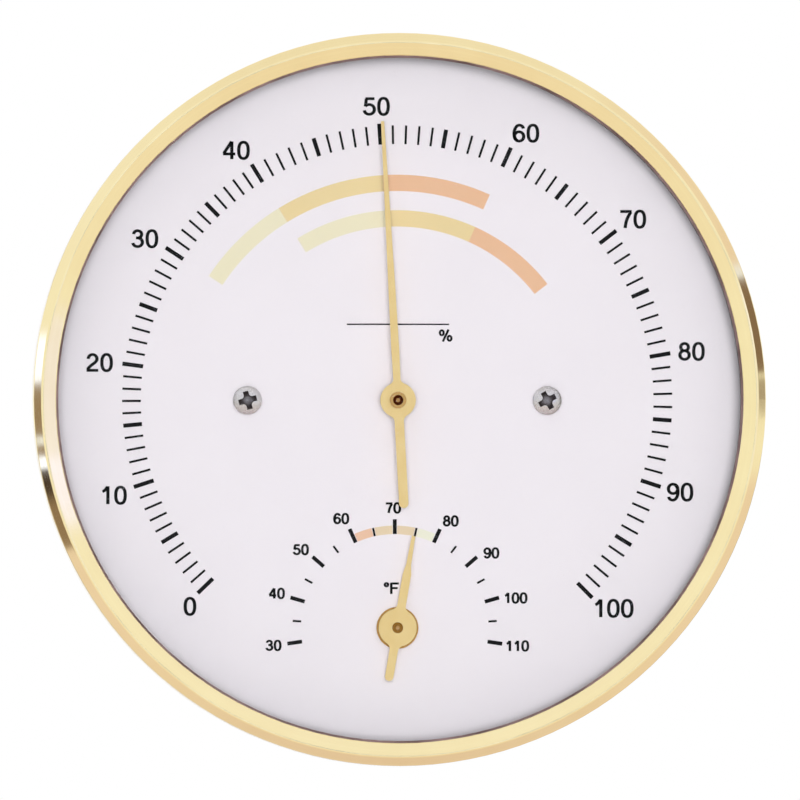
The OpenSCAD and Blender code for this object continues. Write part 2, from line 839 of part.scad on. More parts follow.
// The turned collet that is riveted through the humidity pointer's hub
module pointer_collet() {
    flange_z = pointer_z - collet_flange_h;
    low = flange_z - collet_tail;
    length = collet_tail + collet_flange_h + pointer_t + collet_head;
    color(brass_dark) difference() {
        union() {
            translate([0, 0, low]) cylinder(h = length, r = collet_r);
            translate([0, 0, flange_z]) cylinder(h = collet_flange_h, r = collet_flange_r);
        }
        translate([0, 0, low - cut]) cylinder(h = pointer_z - low + 2 * cut, r = front_shaft_r);
        translate([0, 0, pointer_z]) cylinder(h = length, r = collet_recess_r);
    }
}

// A flat pointer straight up. The blade is a list of [distance, width] from the hub to the tip.
module pointer_blank(blade, tail, tail_w, hub_r, hole_r) {
    tail_end = tail_w / 2 - tail;
    difference() {
        union() {
            linear_extrude(height = pointer_t) polygon(concat(
                [[-tail_w / 2, tail_end], [-tail_w / 2, 0]],
                [for (p = blade) [-p[1] / 2, p[0]]],
                [for (i = [len(blade) - 1 : -1 : 0]) [blade[i][1] / 2, blade[i][0]]],
                [[tail_w / 2, 0], [tail_w / 2, tail_end]]
            ));
            cylinder(h = pointer_t, r = hub_r);
            translate([0, tail_end, 0]) cylinder(h = pointer_t, r = tail_w / 2);
            for (side = [0, 1]) {
                mirror([side, 0, 0]) hub_fillet(hub_r, blade[0][1] / 2);
                mirror([side, 0, 0]) mirror([0, 1, 0]) hub_fillet(hub_r, tail_w / 2);
            }
        }
        translate([0, 0, -cut]) cylinder(h = pointer_t + 2 * cut, r = hole_r);
    }
}

// The hollow corner between a hub and the right-hand edge of a blade that points up
module hub_fillet(hub_r, edge_x) {
    centre_x = edge_x + hub_fillet_r;
    centre_y = sqrt(pow(hub_r + hub_fillet_r, 2) - centre_x * centre_x);
    touch = [centre_x, centre_y] * hub_r / (hub_r + hub_fillet_r);
    difference() {
        linear_extrude(height = pointer_t)
            polygon([[0, centre_y / 2], touch, [centre_x, centre_y], [0, centre_y]]);
        translate([centre_x, centre_y, -cut]) cylinder(h = pointer_t + 2 * cut, r = hub_fillet_r);
    }
}

// The long pointer
module humidity_pointer() {
    color(brass) translate([0, 0, pointer_z]) rotate(-humidity_angle) pointer_blank(
        [[0, pointer_root_w], [pointer_wide_at, pointer_wide_w],
            [pointer_slim_at, pointer_slim_w], [pointer_tip, pointer_tip_w]],
        pointer_tail, pointer_tail_w, pointer_hub_d / 2, collet_r);
}

// The spiral spring that keeps the hair taut
module tension_spring() {
    color("#5d6a86") translate([0, 0, spring_z]) linear_extrude(height = spring_w)
        spiral(spring_in_r, spring_pitch, spring_turns, spring_t, spring_end_angle - stud_turn());
}

// Angle between the spring's end and the middle of its stud
function stud_turn() = (spring_stud_r + seam) / spring_out_r * 180 / PI;

// The collet that holds the spring's inner end on the arbor
module spring_collet() {
    color(brass_dark) translate([0, 0, spring_z - spring_rim])
        ring(spring_collet_r, arbor_r, spring_w + 2 * spring_rim);
}

// The stud in the front plate that holds the spring's outer end
module spring_stud() {
    at = polar(spring_out_r, spring_end_angle);
    color(brass_dark) translate([at[0], at[1], spring_z - spring_rim])
        cylinder(h = front_plate_top_z - spring_z + spring_rim, r = spring_stud_r);
}

// Places children on the sector's axis, with +X towards the pinion
module at_sector() {
    translate(sector_at) rotate(sector_direction + 180) children();
}

// The toothed sector that the hair pulls round
module sector_gear() {
    step = 360 / wheel_teeth;
    half = (sector_teeth - 1) / 2;
    root_r = wheel_r - dedendum * gear_module;
    rim_in_r = root_r - sector_rim_w;
    edge = (half + 0.5) * step;
    teeth = [for (i = [-half : half]) each turned(tooth(wheel_r), i * step)];
    inner = [for (i = [half : -1 : -half]) polar(rim_in_r, edge * i / half)];
    color(brass) translate([0, 0, sector_z]) at_sector() difference() {
        linear_extrude(height = sector_t) {
            polygon(concat([polar(root_r, -edge)], teeth, [polar(root_r, edge)], inner));
            for (side = [-1, 1])
                rotate(side * sector_spoke_angle) translate([0, -sector_spoke_w / 2])
                    square([rim_in_r + 1, sector_spoke_w]);
            circle(r = sector_hub_r);
        }
        translate([0, 0, -cut]) {
            cylinder(h = sector_t + 2 * cut, r = arbor_r);
            rotate(-sector_direction - 180) translate([0, hook_r])
                cylinder(h = sector_t + 2 * cut, r = pin_r);
        }
    }
}

// The boss that the sector is riveted to
module sector_hub() {
    color(brass_dark) translate([sector_at[0], sector_at[1], sector_z - sector_boss_h])
        ring(sector_boss_r, arbor_r, sector_boss_h);
}

// The steel arbor of the sector
module sector_arbor() {
    color(steel) translate(sector_at) {
        arbor_body();
        translate([0, 0, front_plate_z - bush_stand - end_play])
            cylinder(h = plate_t + bush_stand + end_play, r = pivot_r);
    }
}

// The pin in the sector that the hair is looped on
module hair_pin() {
    low = hair_z - ferrule_t / 2 - pin_end;
    color(steel) translate([sector_at[0], hair_y, low]) cylinder(h = sector_z + sector_t - low, r = pin_r);
}

// A crimped end of the hair, with its eye on the origin and the hair towards +X
module ferrule() {
    difference() {
        translate([-ferrule_back, -ferrule_w / 2, -ferrule_t / 2])
            cube([ferrule_back + ferrule_front, ferrule_w, ferrule_t]);
        translate([0, 0, -cut]) cylinder(h = 2 * cut, r = pin_r + pin_gap);
    }
}

// The hair strands between their two crimped ends
module hair_bundle() {
    start_x = sector_at[0] + ferrule_front;
    span = spindle_at[0] - ferrule_front - start_x;
    color("#4a4038") {
        translate([sector_at[0], hair_y, hair_z]) ferrule();
        translate([spindle_at[0], hair_y, hair_z]) rotate(180) ferrule();
        for (i = [0 : hair_strands - 1])
            translate([start_x, hair_y + (i - (hair_strands - 1) / 2) * hair_pitch, hair_z])
                rotate([0, 90, 0]) cylinder(h = span, d = hair_d);
    }
}

// The slotted spindle with an off-centre pin that sets the hair's length
module adjusting_spindle() {
    slot_depth = 1.2;
    slot_w = 0.6;
    color(brass) translate([spindle_at[0], spindle_at[1], 0]) {
        difference() {
            union() {
                translate([0, 0, spindle_end_z])
                    cylinder(h = spindle_disc_z - spindle_end_z, d = spindle_d);
                translate([0, 0, spindle_disc_z]) cylinder(h = spindle_disc_t, r = spindle_disc_r);
                translate([0, crank_r, spindle_disc_z])
                    cylinder(h = hair_z + ferrule_t / 2 + pin_end - spindle_disc_z, r = pin_r);
            }
            translate([-spindle_d, -slot_w / 2, spindle_end_z - cut])
                cube([2 * spindle_d, slot_w, slot_depth + cut]);
            translate([0, 0, clip_z]) ring(spindle_d, spindle_d / 2 - clip_groove, clip_t);
        }
    }
}

// The springy washer that gives the spindle its friction
module spindle_washer() {
    color(steel) translate([spindle_at[0], spindle_at[1], back_plate_top_z])
        ring(spindle_disc_r, spindle_d / 2 + seam, washer_t);
}

// The open clip that keeps the spindle in the back plate
module spindle_clip() {
    mouth = spindle_d - 2 * clip_groove;
    color(steel) translate([spindle_at[0], spindle_at[1], clip_z + seam]) difference() {
        ring(clip_r, spindle_d / 2 - clip_groove + seam, clip_t - 2 * seam);
        translate([-mouth / 2, -clip_r - cut, -cut]) cube([mouth, clip_r + cut, clip_t + 2 * cut]);
    }
}

// The bush that carries the thermometer, with its flange on the dial
module thermometer_bush() {
    color(brass_dark) translate(thermo_at) difference() {
        union() {
            translate([0, 0, dial_z]) cylinder(h = thermo_flange_h, r = thermo_flange_r);
            translate([0, 0, dial_back_z - thermo_bush_tail])
                cylinder(h = thermo_bush_tail + dial_t, r = thermo_bush_r);
        }
        translate([0, 0, dial_back_z - thermo_bush_tail - cut])
            cylinder(h = thermo_bush_tail + dial_t + thermo_flange_h + 2 * cut,
                r = front_shaft_r + running);
    }
}

// The strip that holds the outer end of the bimetal coil
module bimetal_bracket() {
    color(brass) translate(thermo_at) difference() {
        translate([0, 0, dial_back_z - bracket_t]) union() {
            cylinder(h = bracket_t, r = bracket_r);
            translate([0, -bracket_w / 2, 0]) cube([tab_x + bracket_t, bracket_w, bracket_t]);
            translate([tab_x, -bracket_w / 2, coil_z - dial_back_z + bracket_t])
                cube([bracket_t, bracket_w, dial_back_z - coil_z]);
        }
        translate([0, 0, dial_back_z - bracket_t - cut])
            cylinder(h = bracket_t + 2 * cut, r = thermo_bush_r + seam);
    }
}

// The nut that clamps the bracket and the bush to the dial
module thermometer_nut() {
    low = dial_back_z - bracket_t - nut_h;
    color(brass_dark) translate([thermo_at[0], thermo_at[1], low]) difference() {
        cylinder(h = nut_h, r = nut_flats / sqrt(3), $fn = 6);
        translate([0, 0, -cut]) cylinder(h = nut_h + 2 * cut, r = thermo_bush_r + tap_gap);
    }
}

// The spiral of bimetal strip that winds and unwinds with temperature
module bimetal_coil() {
    color("#b08a5a") translate([thermo_at[0], thermo_at[1], coil_z]) linear_extrude(height = bimetal_w)
        spiral(coil_in_r, bimetal_pitch, bimetal_turns, bimetal_t, 0);
}

// The collet that holds the coil's inner end on the thermometer's arbor
module coil_collet() {
    color(brass_dark) translate([thermo_at[0], thermo_at[1], coil_z - coil_collet_rim])
        ring(coil_collet_r, front_shaft_r, bimetal_w + 2 * coil_collet_rim);
}

// The steel arbor of the thermometer
module thermometer_arbor() {
    low = coil_z - thermo_arbor_end;
    color(steel) translate(thermo_at) {
        translate([0, 0, low]) cylinder(h = thermo_pointer_z - low, r = front_shaft_r);
        translate([0, 0, thermo_pointer_z]) cylinder(h = pointer_t, r = tip_r);
    }
}

// The collet under the thermometer pointer's hub
module thermometer_collet() {
    low = dial_z + thermo_flange_h + thermo_play;
    color(brass_dark) translate([thermo_at[0], thermo_at[1], low])
        ring(thermo_collet_r, front_shaft_r, thermo_pointer_z - low);
}

// The short pointer
module thermometer_pointer() {
    color(brass) translate([thermo_at[0], thermo_at[1], thermo_pointer_z]) rotate(-thermo_angle)
        pointer_blank(
            [[0, thermo_blade_w], [thermo_shoulder_at, thermo_blade_w],
                [thermo_shoulder_at + thermo_shoulder_l, thermo_needle_w], [thermo_tip, thermo_tip_w]],
            thermo_tail, thermo_blade_w, thermo_hub_d / 2, thermo_hole_r);
}

upright() case_body();
upright() back_cover();
upright() cover_screws();
upright() bezel_ring();
upright() lens_gasket();
upright() glass_lens();
upright() spacer_ring();
upright() dial_seat_ring();
upright() dial_plate();
upright() humidity_ticks();
upright() temperature_ticks();
upright() green_bands();
upright() gold_bands();
upright() orange_bands();
upright() dial_screws();
upright() dial_spacers();
upright() front_plate();
upright() back_plate();
upright() plate_pillars();
upright() plate_screws();
upright() pointer_bushes();
upright() sector_bushes();
upright() pointer_arbor();
upright() pinion();
upright() pointer_collet();
upright() humidity_pointer();
upright() tension_spring();
upright() spring_collet();
upright() spring_stud();
upright() sector_gear();
upright() sector_hub();
upright() sector_arbor();
upright() hair_pin();
upright() hair_bundle();
upright() adjusting_spindle();
upright() spindle_washer();
upright() spindle_clip();
upright() thermometer_bush();
upright() thermometer_nut();
upright() bimetal_bracket();
upright() bimetal_coil();
upright() coil_collet();
upright() thermometer_arbor();
upright() thermometer_collet();
upright() thermometer_pointer();
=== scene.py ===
"""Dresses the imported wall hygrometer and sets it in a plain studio.

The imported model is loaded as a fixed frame. Every CAD piece keeps its shape and gets a procedural
finish. The printed numerals and marks, and the hair with its crimped ends, are new pieces. Lengths
are metres; the dial faces -Y, +X is to the viewer's right and +Z is up.
"""

from __future__ import annotations

import logging
import math
from dataclasses import dataclass, field, replace
from enum import Enum

import bpy
import numpy as np
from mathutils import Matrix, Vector


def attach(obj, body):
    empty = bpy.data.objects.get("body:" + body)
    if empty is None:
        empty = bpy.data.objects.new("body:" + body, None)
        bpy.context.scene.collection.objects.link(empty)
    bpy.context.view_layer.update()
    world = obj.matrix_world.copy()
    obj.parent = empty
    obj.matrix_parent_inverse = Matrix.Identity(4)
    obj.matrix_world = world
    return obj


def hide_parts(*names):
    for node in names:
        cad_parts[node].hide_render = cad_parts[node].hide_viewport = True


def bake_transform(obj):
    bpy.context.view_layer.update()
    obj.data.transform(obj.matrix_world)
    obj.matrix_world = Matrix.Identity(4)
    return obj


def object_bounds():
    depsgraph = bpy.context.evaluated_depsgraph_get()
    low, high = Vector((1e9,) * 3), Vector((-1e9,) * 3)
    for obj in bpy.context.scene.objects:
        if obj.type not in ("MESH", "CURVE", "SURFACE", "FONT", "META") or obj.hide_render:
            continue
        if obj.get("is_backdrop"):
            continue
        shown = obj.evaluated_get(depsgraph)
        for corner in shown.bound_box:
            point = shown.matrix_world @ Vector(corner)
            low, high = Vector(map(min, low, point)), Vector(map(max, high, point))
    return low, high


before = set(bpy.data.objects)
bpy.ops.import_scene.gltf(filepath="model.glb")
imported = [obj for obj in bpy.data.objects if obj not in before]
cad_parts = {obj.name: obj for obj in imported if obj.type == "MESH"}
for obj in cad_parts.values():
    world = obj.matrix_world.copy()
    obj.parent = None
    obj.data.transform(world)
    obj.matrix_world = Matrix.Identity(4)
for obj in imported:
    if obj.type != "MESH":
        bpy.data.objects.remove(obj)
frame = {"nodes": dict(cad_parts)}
CAD_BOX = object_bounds()

MM = 0.001
LOG = logging.getLogger("hygrometer")

Colour = tuple[float, float, float]
Point = tuple[float, float, float]
Pair = tuple[float, float]
Socket = bpy.types.NodeSocket
Piece = bpy.types.Object
Path = np.ndarray

ORIGIN: Point = (0.0, 0.0, 0.0)
METRE: Point = (1.0, 1.0, 1.0)
UNIT: Pair = (0.0, 1.0)
NOISE: Pair = (0.3, 0.7)  # the range that noise seldom leaves


# Node trees


class Graph:
    """A node tree, built a node at a time."""

    def __init__(self, tree: bpy.types.NodeTree) -> None:
        """Empties the tree and starts anew."""
        self.tree = tree
        self.tree.nodes.clear()

    def node(self, kind: str, inputs: dict | None = None, **settings: object) -> bpy.types.Node:
        """Adds one node.

        Args:
            kind: Blender's name for the kind of node.
            inputs: A value or a socket for each input, by its name or number.
            **settings: Properties of the node itself.

        Returns:
            The new node.
        """
        node = self.tree.nodes.new(kind)
        for name, value in settings.items():
            setattr(node, name, value)
        for name, value in (inputs or {}).items():
            if isinstance(value, bpy.types.NodeSocket):
                self.tree.links.new(value, node.inputs[name])
            elif node.inputs[name].type == "RGBA":
                node.inputs[name].default_value = (*value, 1.0)
            else:
                node.inputs[name].default_value = value
        return node

    def maths(self, operation: str, *terms: Socket | float) -> Socket:
        """One sum on up to three values, by the name of its operation."""
        terms = dict(enumerate(terms))
        return self.node("ShaderNodeMath", terms, operation=operation).outputs[0]

    def span(self, value: Socket, start: Pair, end: Pair = UNIT) -> Socket:
        """Stretches a value from one range to another and holds it there.

        Args:
            value: The value to stretch.
            start: The two values that come in.
            end: What those two become.

        Returns:
            The stretched value.
        """
        limits = {"From Min": start[0], "From Max": start[1], "To Min": end[0], "To Max": end[1]}
        return self.node("ShaderNodeMapRange", {"Value": value, **limits}).outputs["Result"]

    def place(self, centre: Point, unit: Point) -> Socket:
        """Object coordinates counted from a point.

        Args:
            centre: Where the pattern starts.
            unit: Length of one step of the pattern along each axis.

        Returns:
            A vector socket, in steps of the pattern.
        """
        spot = self.node("ShaderNodeTexCoord").outputs["Object"]
        inputs = {"Vector": spot, "Location": centre, "Scale": unit}
        return self.node("ShaderNodeMapping", inputs, vector_type="TEXTURE").outputs["Vector"]

    def cloud(self, centre: Point, unit: Point, detail: float = 2.0) -> Socket:
        """Soft noise from 0 to 1 whose lumps are about one unit across."""
        inputs = {"Vector": self.place(centre, unit), "Scale": 1.0, "Detail": detail}
        return self.span(self.node("ShaderNodeTexNoise", inputs).outputs[0], NOISE)

    def length(self, vector: Socket) -> Socket:
        """The length of a vector."""
        return self.node("ShaderNodeVectorMath", {0: vector}, operation="LENGTH").outputs["Value"]

    def reach(self, centre: Point) -> Socket:
        """Distance in metres from the line that runs through a point along Y."""
        inputs = {0: self.place(centre, METRE), 1: (1.0, 0.0, 1.0)}
        flat = self.node("ShaderNodeVectorMath", inputs, operation="MULTIPLY").outputs[0]
        return self.length(flat)

    def rings(self, centre: Point, pitch: float) -> Socket:
        """Lathe marks from 0 to 1.

        They are noise along one line: the distance from the piece's own Y axis plus the depth
        along it, so that faces get rings and barrels get bands.

        Args:
            centre: A point on the axis.
            pitch: Width of one mark.

        Returns:
            The marks, as a value.
        """
        spot = self.node("ShaderNodeSeparateXYZ", {0: self.place(centre, (pitch,) * 3)}).outputs
        flat = self.node("ShaderNodeCombineXYZ", {"X": spot["X"], "Y": spot["Z"]}).outputs[0]
        along = self.maths("ADD", self.length(flat), spot["Y"])
        inputs = {"W": along, "Scale": 1.0, "Detail": 3.0}
        noise = self.node("ShaderNodeTexNoise", inputs, noise_dimensions="1D")
        return self.span(noise.outputs[0], NOISE)

    def weigh(self, first: Socket, share: float, second: Socket) -> Socket:
        """A weighted mean of two values: share of the first and the rest of the second."""
        rest = self.maths("MULTIPLY", second, 1 - share)
        return self.maths("MULTIPLY_ADD", first, share, rest)

    def blend(self, share: Socket | float, first: object, second: object) -> Socket:
        """Mixes two colours: the first where share is 0 and the second where it is 1."""
        inputs = {0: share, 6: first, 7: second}
        return self.node("ShaderNodeMix", inputs, data_type="RGBA").outputs[2]

    def relief(self, height: Socket, depth: float, under: Socket | None = None) -> Socket:
        """A bumped normal, from a height of 0 to 1 that stands for a depth in metres."""
        inputs = {"Height": height, "Distance": depth} | ({"Normal": under} if under else {})
        return self.node("ShaderNodeBump", inputs).outputs[0]

    def ramp(self, value: Socket, stops: list[tuple[float, Colour, float]]) -> bpy.types.Node:
        """A colour ramp, read at a value from 0 to 1; a stop is a place, a colour and an alpha."""
        node = self.node("ShaderNodeValToRGB", {"Fac": value})
        elements = node.color_ramp.elements
        while len(elements) < len(stops):
            elements.new(1.0)
        for element, (place, colour, alpha) in zip(elements, stops):
            element.position = place
            element.color = (*colour, alpha)
        return node

    def coat(
        self, tone: Socket, lie: Socket, gloss: Pair, depth: float, shine: float = 0.5
    ) -> Socket:
        """A plain coat's shader: how it lies, from 0 to 1, gives its roughness and its relief."""
        inputs = {"Base Color": tone, "Roughness": self.span(lie, UNIT, gloss)}
        inputs |= {"Normal": self.relief(lie, depth), "Specular IOR Level": shine}
        return self.node("ShaderNodeBsdfPrincipled", inputs).outputs[0]


# Finishes


class Grain(Enum):
    """How a metal surface was last worked."""

    POLISHED = "polished on a wheel"
    TURNED = "turned on a lathe"
    BRUSHED = "brushed lengthwise"
    TUMBLED = "tumbled"


@dataclass(frozen=True)
class Finish:
    """What every finish has: a name, and a way to give it to pieces."""

    name: str

    def shader(self, graph: Graph, centre: Point) -> Socket:
        """Joins the finish's nodes, centred on the piece, and returns its shader."""
        raise NotImplementedError

    def dress(self, *pieces: Piece) -> None:
        """Gives each piece a material of its own.

        Args:
            *pieces: The pieces to dress. A CAD piece keeps its one material slot.
        """
        for piece in pieces:
            corners = np.array([tuple(v) for v in piece.bound_box])
            centre = tuple(float(v) for v in (corners.min(0) + corners.max(0)) / 2)
            material = bpy.data.materials.new(f"{self.name}.{piece.name}")
            material.use_nodes = True
            graph = Graph(material.node_tree)
            graph.node("ShaderNodeOutputMaterial", {"Surface": self.shader(graph, centre)})
            if piece.material_slots:
                piece.material_slots[0].material = material
            else:
                piece.data.materials.append(material)
            LOG.info("%s: %s", piece.name, self.name)


@dataclass(frozen=True)
class Metal(Finish):
    """A metal with its working marks, cloudy tarnish and fine scratches.

    With a grime_and_shade_reach, hollows about that deep are made dark and dull, partly with old
    oil and dust and partly with painted shade, from ambient occlusion.
    """

    light: Colour
    deep: Colour
    smooth: float
    rough: float
    grain: Grain
    run: Point = (9 * MM, 0.1 * MM, 0.1 * MM)
    pitch: float = 0.2 * MM
    depth: float = 0.001 * MM
    patch: float = 7 * MM
    wave: float = 0.0
    swell: float = 9 * MM
    marks_share: float = 0.35
    scratch: Point = (4 * MM, 3 * MM, 0.05 * MM)
    scratched: Pair = (0.88, 1.0)
    scratch_dull: float = 0.8
    # Tone, reach and dullness of the dark in hollows: grime and painted shade.
    grime_and_shade: Colour = (0.09, 0.028, 0.005)
    grime_and_shade_reach: float = 0.0
    grime_and_shade_dull: float = 0.75
    ragged: float = 0.12
    open_enough: Pair = (0.55, 0.92)

    def marks(self, graph: Graph, centre: Point) -> Socket:
        """The working marks from 0 to 1, after the way the surface was last worked."""
        if self.grain in (Grain.BRUSHED, Grain.TUMBLED):
            return graph.cloud(centre, self.run, 3.0)
        return graph.rings(centre, self.pitch)

    def shader(self, graph: Graph, centre: Point) -> Socket:
        """Tone and roughness follow the marks and the tarnish; the marks give the relief."""
        marks = self.marks(graph, centre)
        tarnish = graph.cloud(centre, (self.patch,) * 3, 4.0)
        scratches = graph.cloud(centre, self.scratch, 1.0)
        scratches = graph.span(scratches, self.scratched, (0.0, self.scratch_dull))
        worn = graph.weigh(marks, self.marks_share, tarnish)
        dull = graph.maths("MAXIMUM", worn, scratches)
        tone = graph.blend(worn, self.light, self.deep)
        rough = graph.span(dull, UNIT, (self.smooth, self.rough))
        normal = graph.relief(marks, self.depth)
        if self.wave:
            swell = graph.cloud(centre, (self.swell,) * 3, 1.0)
            normal = graph.relief(swell, self.wave, normal)
        inputs = {"Metallic": 1.0, "Normal": normal}
        # Grime and painted shade: ambient occlusion darkens and dulls the hollows, where their
        # shade falls.
        if self.grime_and_shade_reach:
            reach = {"Distance": self.grime_and_shade_reach}
            hollow = graph.node("ShaderNodeAmbientOcclusion", reach, samples=12)
            open_share = graph.maths("MULTIPLY_ADD", worn, self.ragged, hollow.outputs["AO"])
            lit_and_clean = graph.span(open_share, self.open_enough)
            tone = graph.blend(lit_and_clean, self.grime_and_shade, tone)
            dull = graph.span(lit_and_clean, UNIT, (self.grime_and_shade_dull, 0.0))
            rough = graph.maths("MAXIMUM", rough, dull)
        inputs |= {"Base Color": tone, "Roughness": rough}
        return graph.node("ShaderNodeBsdfPrincipled", inputs).outputs[0]


@dataclass(frozen=True)
class Enamel(Finish):
    """A sprayed and baked coat: a faint orange peel, and a tone that drifts a little.

    With an edge, the coat gets painted shade towards that distance from the piece's own Y axis: it
    darkens there as under the bezel's shadow.
    """

    light: Colour
    deep: Colour
    smooth: float = 0.42
    rough: float = 0.55
    peel: float = 0.5 * MM
    depth: float = 0.0012 * MM
    patch: float = 16 * MM
    speck: float = 0.16 * MM
    drift_share: float = 0.7
    # Painted shade at the rim: where it ends, how wide it is, how dark it gets and its tone.
    edge: float = 0.0
    rim_shade_width: float = 1.3 * MM
    dust_and_shade: float = 0.4
    dust_and_shade_tone: Colour = (0.03, 0.026, 0.024)

    def shader(self, graph: Graph, centre: Point) -> Socket:
        """Tone drifts over wide patches and fine specks; the peel gives the relief."""
        drift = graph.cloud(centre, (self.patch,) * 3, 3.0)
        specks = graph.cloud(centre, (self.speck,) * 3, 2.0)
        peel = graph.cloud(centre, (self.peel,) * 3, 3.0)
        share = graph.weigh(drift, self.drift_share, specks)
        tone = graph.blend(share, self.light, self.deep)
        # Painted shade: the tone darkens towards the edge, where the bezel shades the dial.
        if self.edge:
            near = graph.span(graph.reach(centre), (self.edge - self.rim_shade_width, self.edge))
            dust_and_shade = graph.maths("MULTIPLY", graph.maths("POWER", near, 2.0), self.dust_and_shade)
            tone = graph.blend(dust_and_shade, tone, self.dust_and_shade_tone)
        return graph.coat(tone, peel, (self.smooth, self.rough), self.depth)


@dataclass(frozen=True)
class Ink(Finish):
    """A screen-printed coat of ink, as uneven as the mesh of the screen left it.

    Within small_reach of small_centre it has the small scale's two tones instead.
    """

    full: Colour
    thin: Colour
    small: tuple[Colour, Colour] | None = None
    small_centre: Point = (0.0, 0.0, -32 * MM)
    small_reach: float = 16 * MM
    small_soft: float = 1 * MM
    mesh: float = 0.11 * MM
    mesh_share: float = 0.55
    patch: float = 5 * MM
    depth: float = 0.004 * MM
    smooth: float = 0.6
    rough: float = 0.8
    shine: float = 0.12

    def shader(self, graph: Graph, centre: Point) -> Socket:
        """Tone, gloss and height follow how thickly the ink lies."""
        lie = graph.cloud(centre, (self.mesh,) * 3, 2.0)
        drift = graph.cloud(centre, (self.patch,) * 3, 2.0)
        share = graph.weigh(lie, self.mesh_share, drift)
        tone = graph.blend(share, self.full, self.thin)
        if self.small:
            limits = (self.small_reach + self.small_soft, self.small_reach)
            near = graph.span(graph.reach(self.small_centre), limits)
            tone = graph.blend(near, tone, graph.blend(share, *self.small))
        return graph.coat(tone, lie, (self.smooth, self.rough), self.depth, self.shine)


@dataclass(frozen=True)
class Moulded(Finish):
    """A moulded black part with a fine eroded grain and a greyish bloom."""

    base: Colour
    bloom: Colour
    smooth: float
    rough: float
    grain: float = 0.14 * MM
    depth: float = 0.01 * MM
    patch: float = 5 * MM

    def shader(self, graph: Graph, centre: Point) -> Socket:
        """The bloom drifts in patches; the eroded grain gives the relief and the gloss."""
        grain = graph.cloud(centre, (self.grain,) * 3, 3.0)
        bloom = graph.cloud(centre, (self.patch,) * 3, 4.0)
        tone = graph.blend(bloom, self.base, self.bloom)
        return graph.coat(tone, grain, (self.smooth, self.rough), self.depth)


@dataclass(frozen=True)
class Fibre(Finish):
    """Drawn synthetic hair, with lighter and darker runs along each strand."""

    light: Colour
    deep: Colour
    smooth: float = 0.28
    rough: float = 0.5
    run: Point = (7 * MM, 0.08 * MM, 0.08 * MM)
    depth: float = 0.004 * MM

    def shader(self, graph: Graph, centre: Point) -> Socket:
        """Tone and gloss change from strand to strand and slowly along each."""
        runs = graph.cloud(centre, self.run, 2.0)
        tone = graph.blend(runs, self.light, self.deep)
        return graph.coat(tone, runs, (self.smooth, self.rough), self.depth)


@dataclass(frozen=True)
class ClearGlass(Finish):
    """Thin flat glass: light goes straight through, and the front face shows reflections."""

    body: Colour
    bend: float = 1.5
    gain: float = 1.7
    smudge: float = 13 * MM
    smudged: Pair = (0.55, 1.0)
    smudge_blur: float = 0.06
    dust_and_shade: float = 0.3 * MM
    dusted: Pair = (0.9, 1.0)
    dust_share: float = 0.35
    dust_and_shade_tone: Colour = (0.93, 0.93, 0.93)

    def shader(self, graph: Graph, centre: Point) -> Socket:
        """Fresnel mixes a see-through shader with a mirror; faint smudges blur the mirror."""
        smudge = graph.span(graph.cloud(centre, (self.smudge,) * 3, 4.0), self.smudged)
        dust_and_shade = graph.cloud(centre, (self.dust_and_shade,) * 3, 1.0)
        dust_and_shade = graph.span(dust_and_shade, self.dusted, (0.0, self.dust_share))
        blur = graph.maths("MULTIPLY_ADD", smudge, self.smudge_blur, dust_and_shade)
        through = graph.blend(dust_and_shade, self.body, self.dust_and_shade_tone)
        clear = graph.node("ShaderNodeBsdfTransparent", {"Color": through}).outputs[0]
        mirror = graph.node("ShaderNodeBsdfGlossy", {"Roughness": blur}).outputs[0]
        fresnel = graph.node("ShaderNodeFresnel", {"IOR": self.bend}).outputs[0]
        behind = graph.node("ShaderNodeNewGeometry").outputs["Backfacing"]
        front = graph.maths("SUBTRACT", 1.0, behind)
        share = graph.maths("MULTIPLY", graph.maths("MULTIPLY", fresnel, self.gain), front)
        share = graph.maths("MINIMUM", share, 1.0)
        return graph.node("ShaderNodeMixShader", {0: share, 1: clear, 2: mirror}).outputs[0]


POLISHED_BRASS = Metal(
    "polished_brass",
    light=(0.94, 0.82, 0.465),
    deep=(0.90, 0.76, 0.41),
    smooth=0.05,
    rough=0.14,
    grain=Grain.POLISHED,
    depth=0.0005 * MM,
    wave=0.02 * MM,
)
SPUN_BRASS = Metal(
    "spun_brass",
    light=(0.82, 0.65, 0.33),
    deep=(0.70, 0.52, 0.24),
    smooth=0.22,
    rough=0.4,
    grain=Grain.TURNED,
    pitch=0.35 * MM,
    depth=0.002 * MM,
    patch=12 * MM,
)
SHEET_BRASS = replace(SPUN_BRASS, name="brushed_brass", grain=Grain.BRUSHED)
# Its recesses get grime and painted shade within 0.9 mm.
TURNED_BRASS = Metal(
    "turned_brass",
    light=(0.76, 0.58, 0.27),
    deep=(0.58, 0.42, 0.18),
    smooth=0.14,
    rough=0.34,
    grain=Grain.TURNED,
    pitch=0.12 * MM,
    patch=2 * MM,
    grime_and_shade_reach=0.9 * MM,
)
SMALL_BRASS = replace(
    TURNED_BRASS, name="tumbled_brass", grain=Grain.TUMBLED, run=(0.3 * MM, 0.1 * MM, 0.3 * MM)
)
AGED_BRASS = replace(
    TURNED_BRASS,
    name="aged_brass",
    light=(0.69, 0.42, 0.15),
    deep=(0.53, 0.31, 0.10),
    grime_and_shade=(0.20, 0.035, 0.002),
)
BROWNED_BRASS = replace(AGED_BRASS, name="browned_brass", grime_and_shade=(0.45, 0.22, 0.03))
POINTER_BRASS = Metal(
    "pointer_brass",
    light=(0.935, 0.705, 0.315),
    deep=(0.885, 0.645, 0.27),
    smooth=0.28,
    rough=0.42,
    grain=Grain.BRUSHED,
    run=(0.12 * MM, 0.12 * MM, 5 * MM),
    depth=0.003 * MM,
    patch=3 * MM,
)
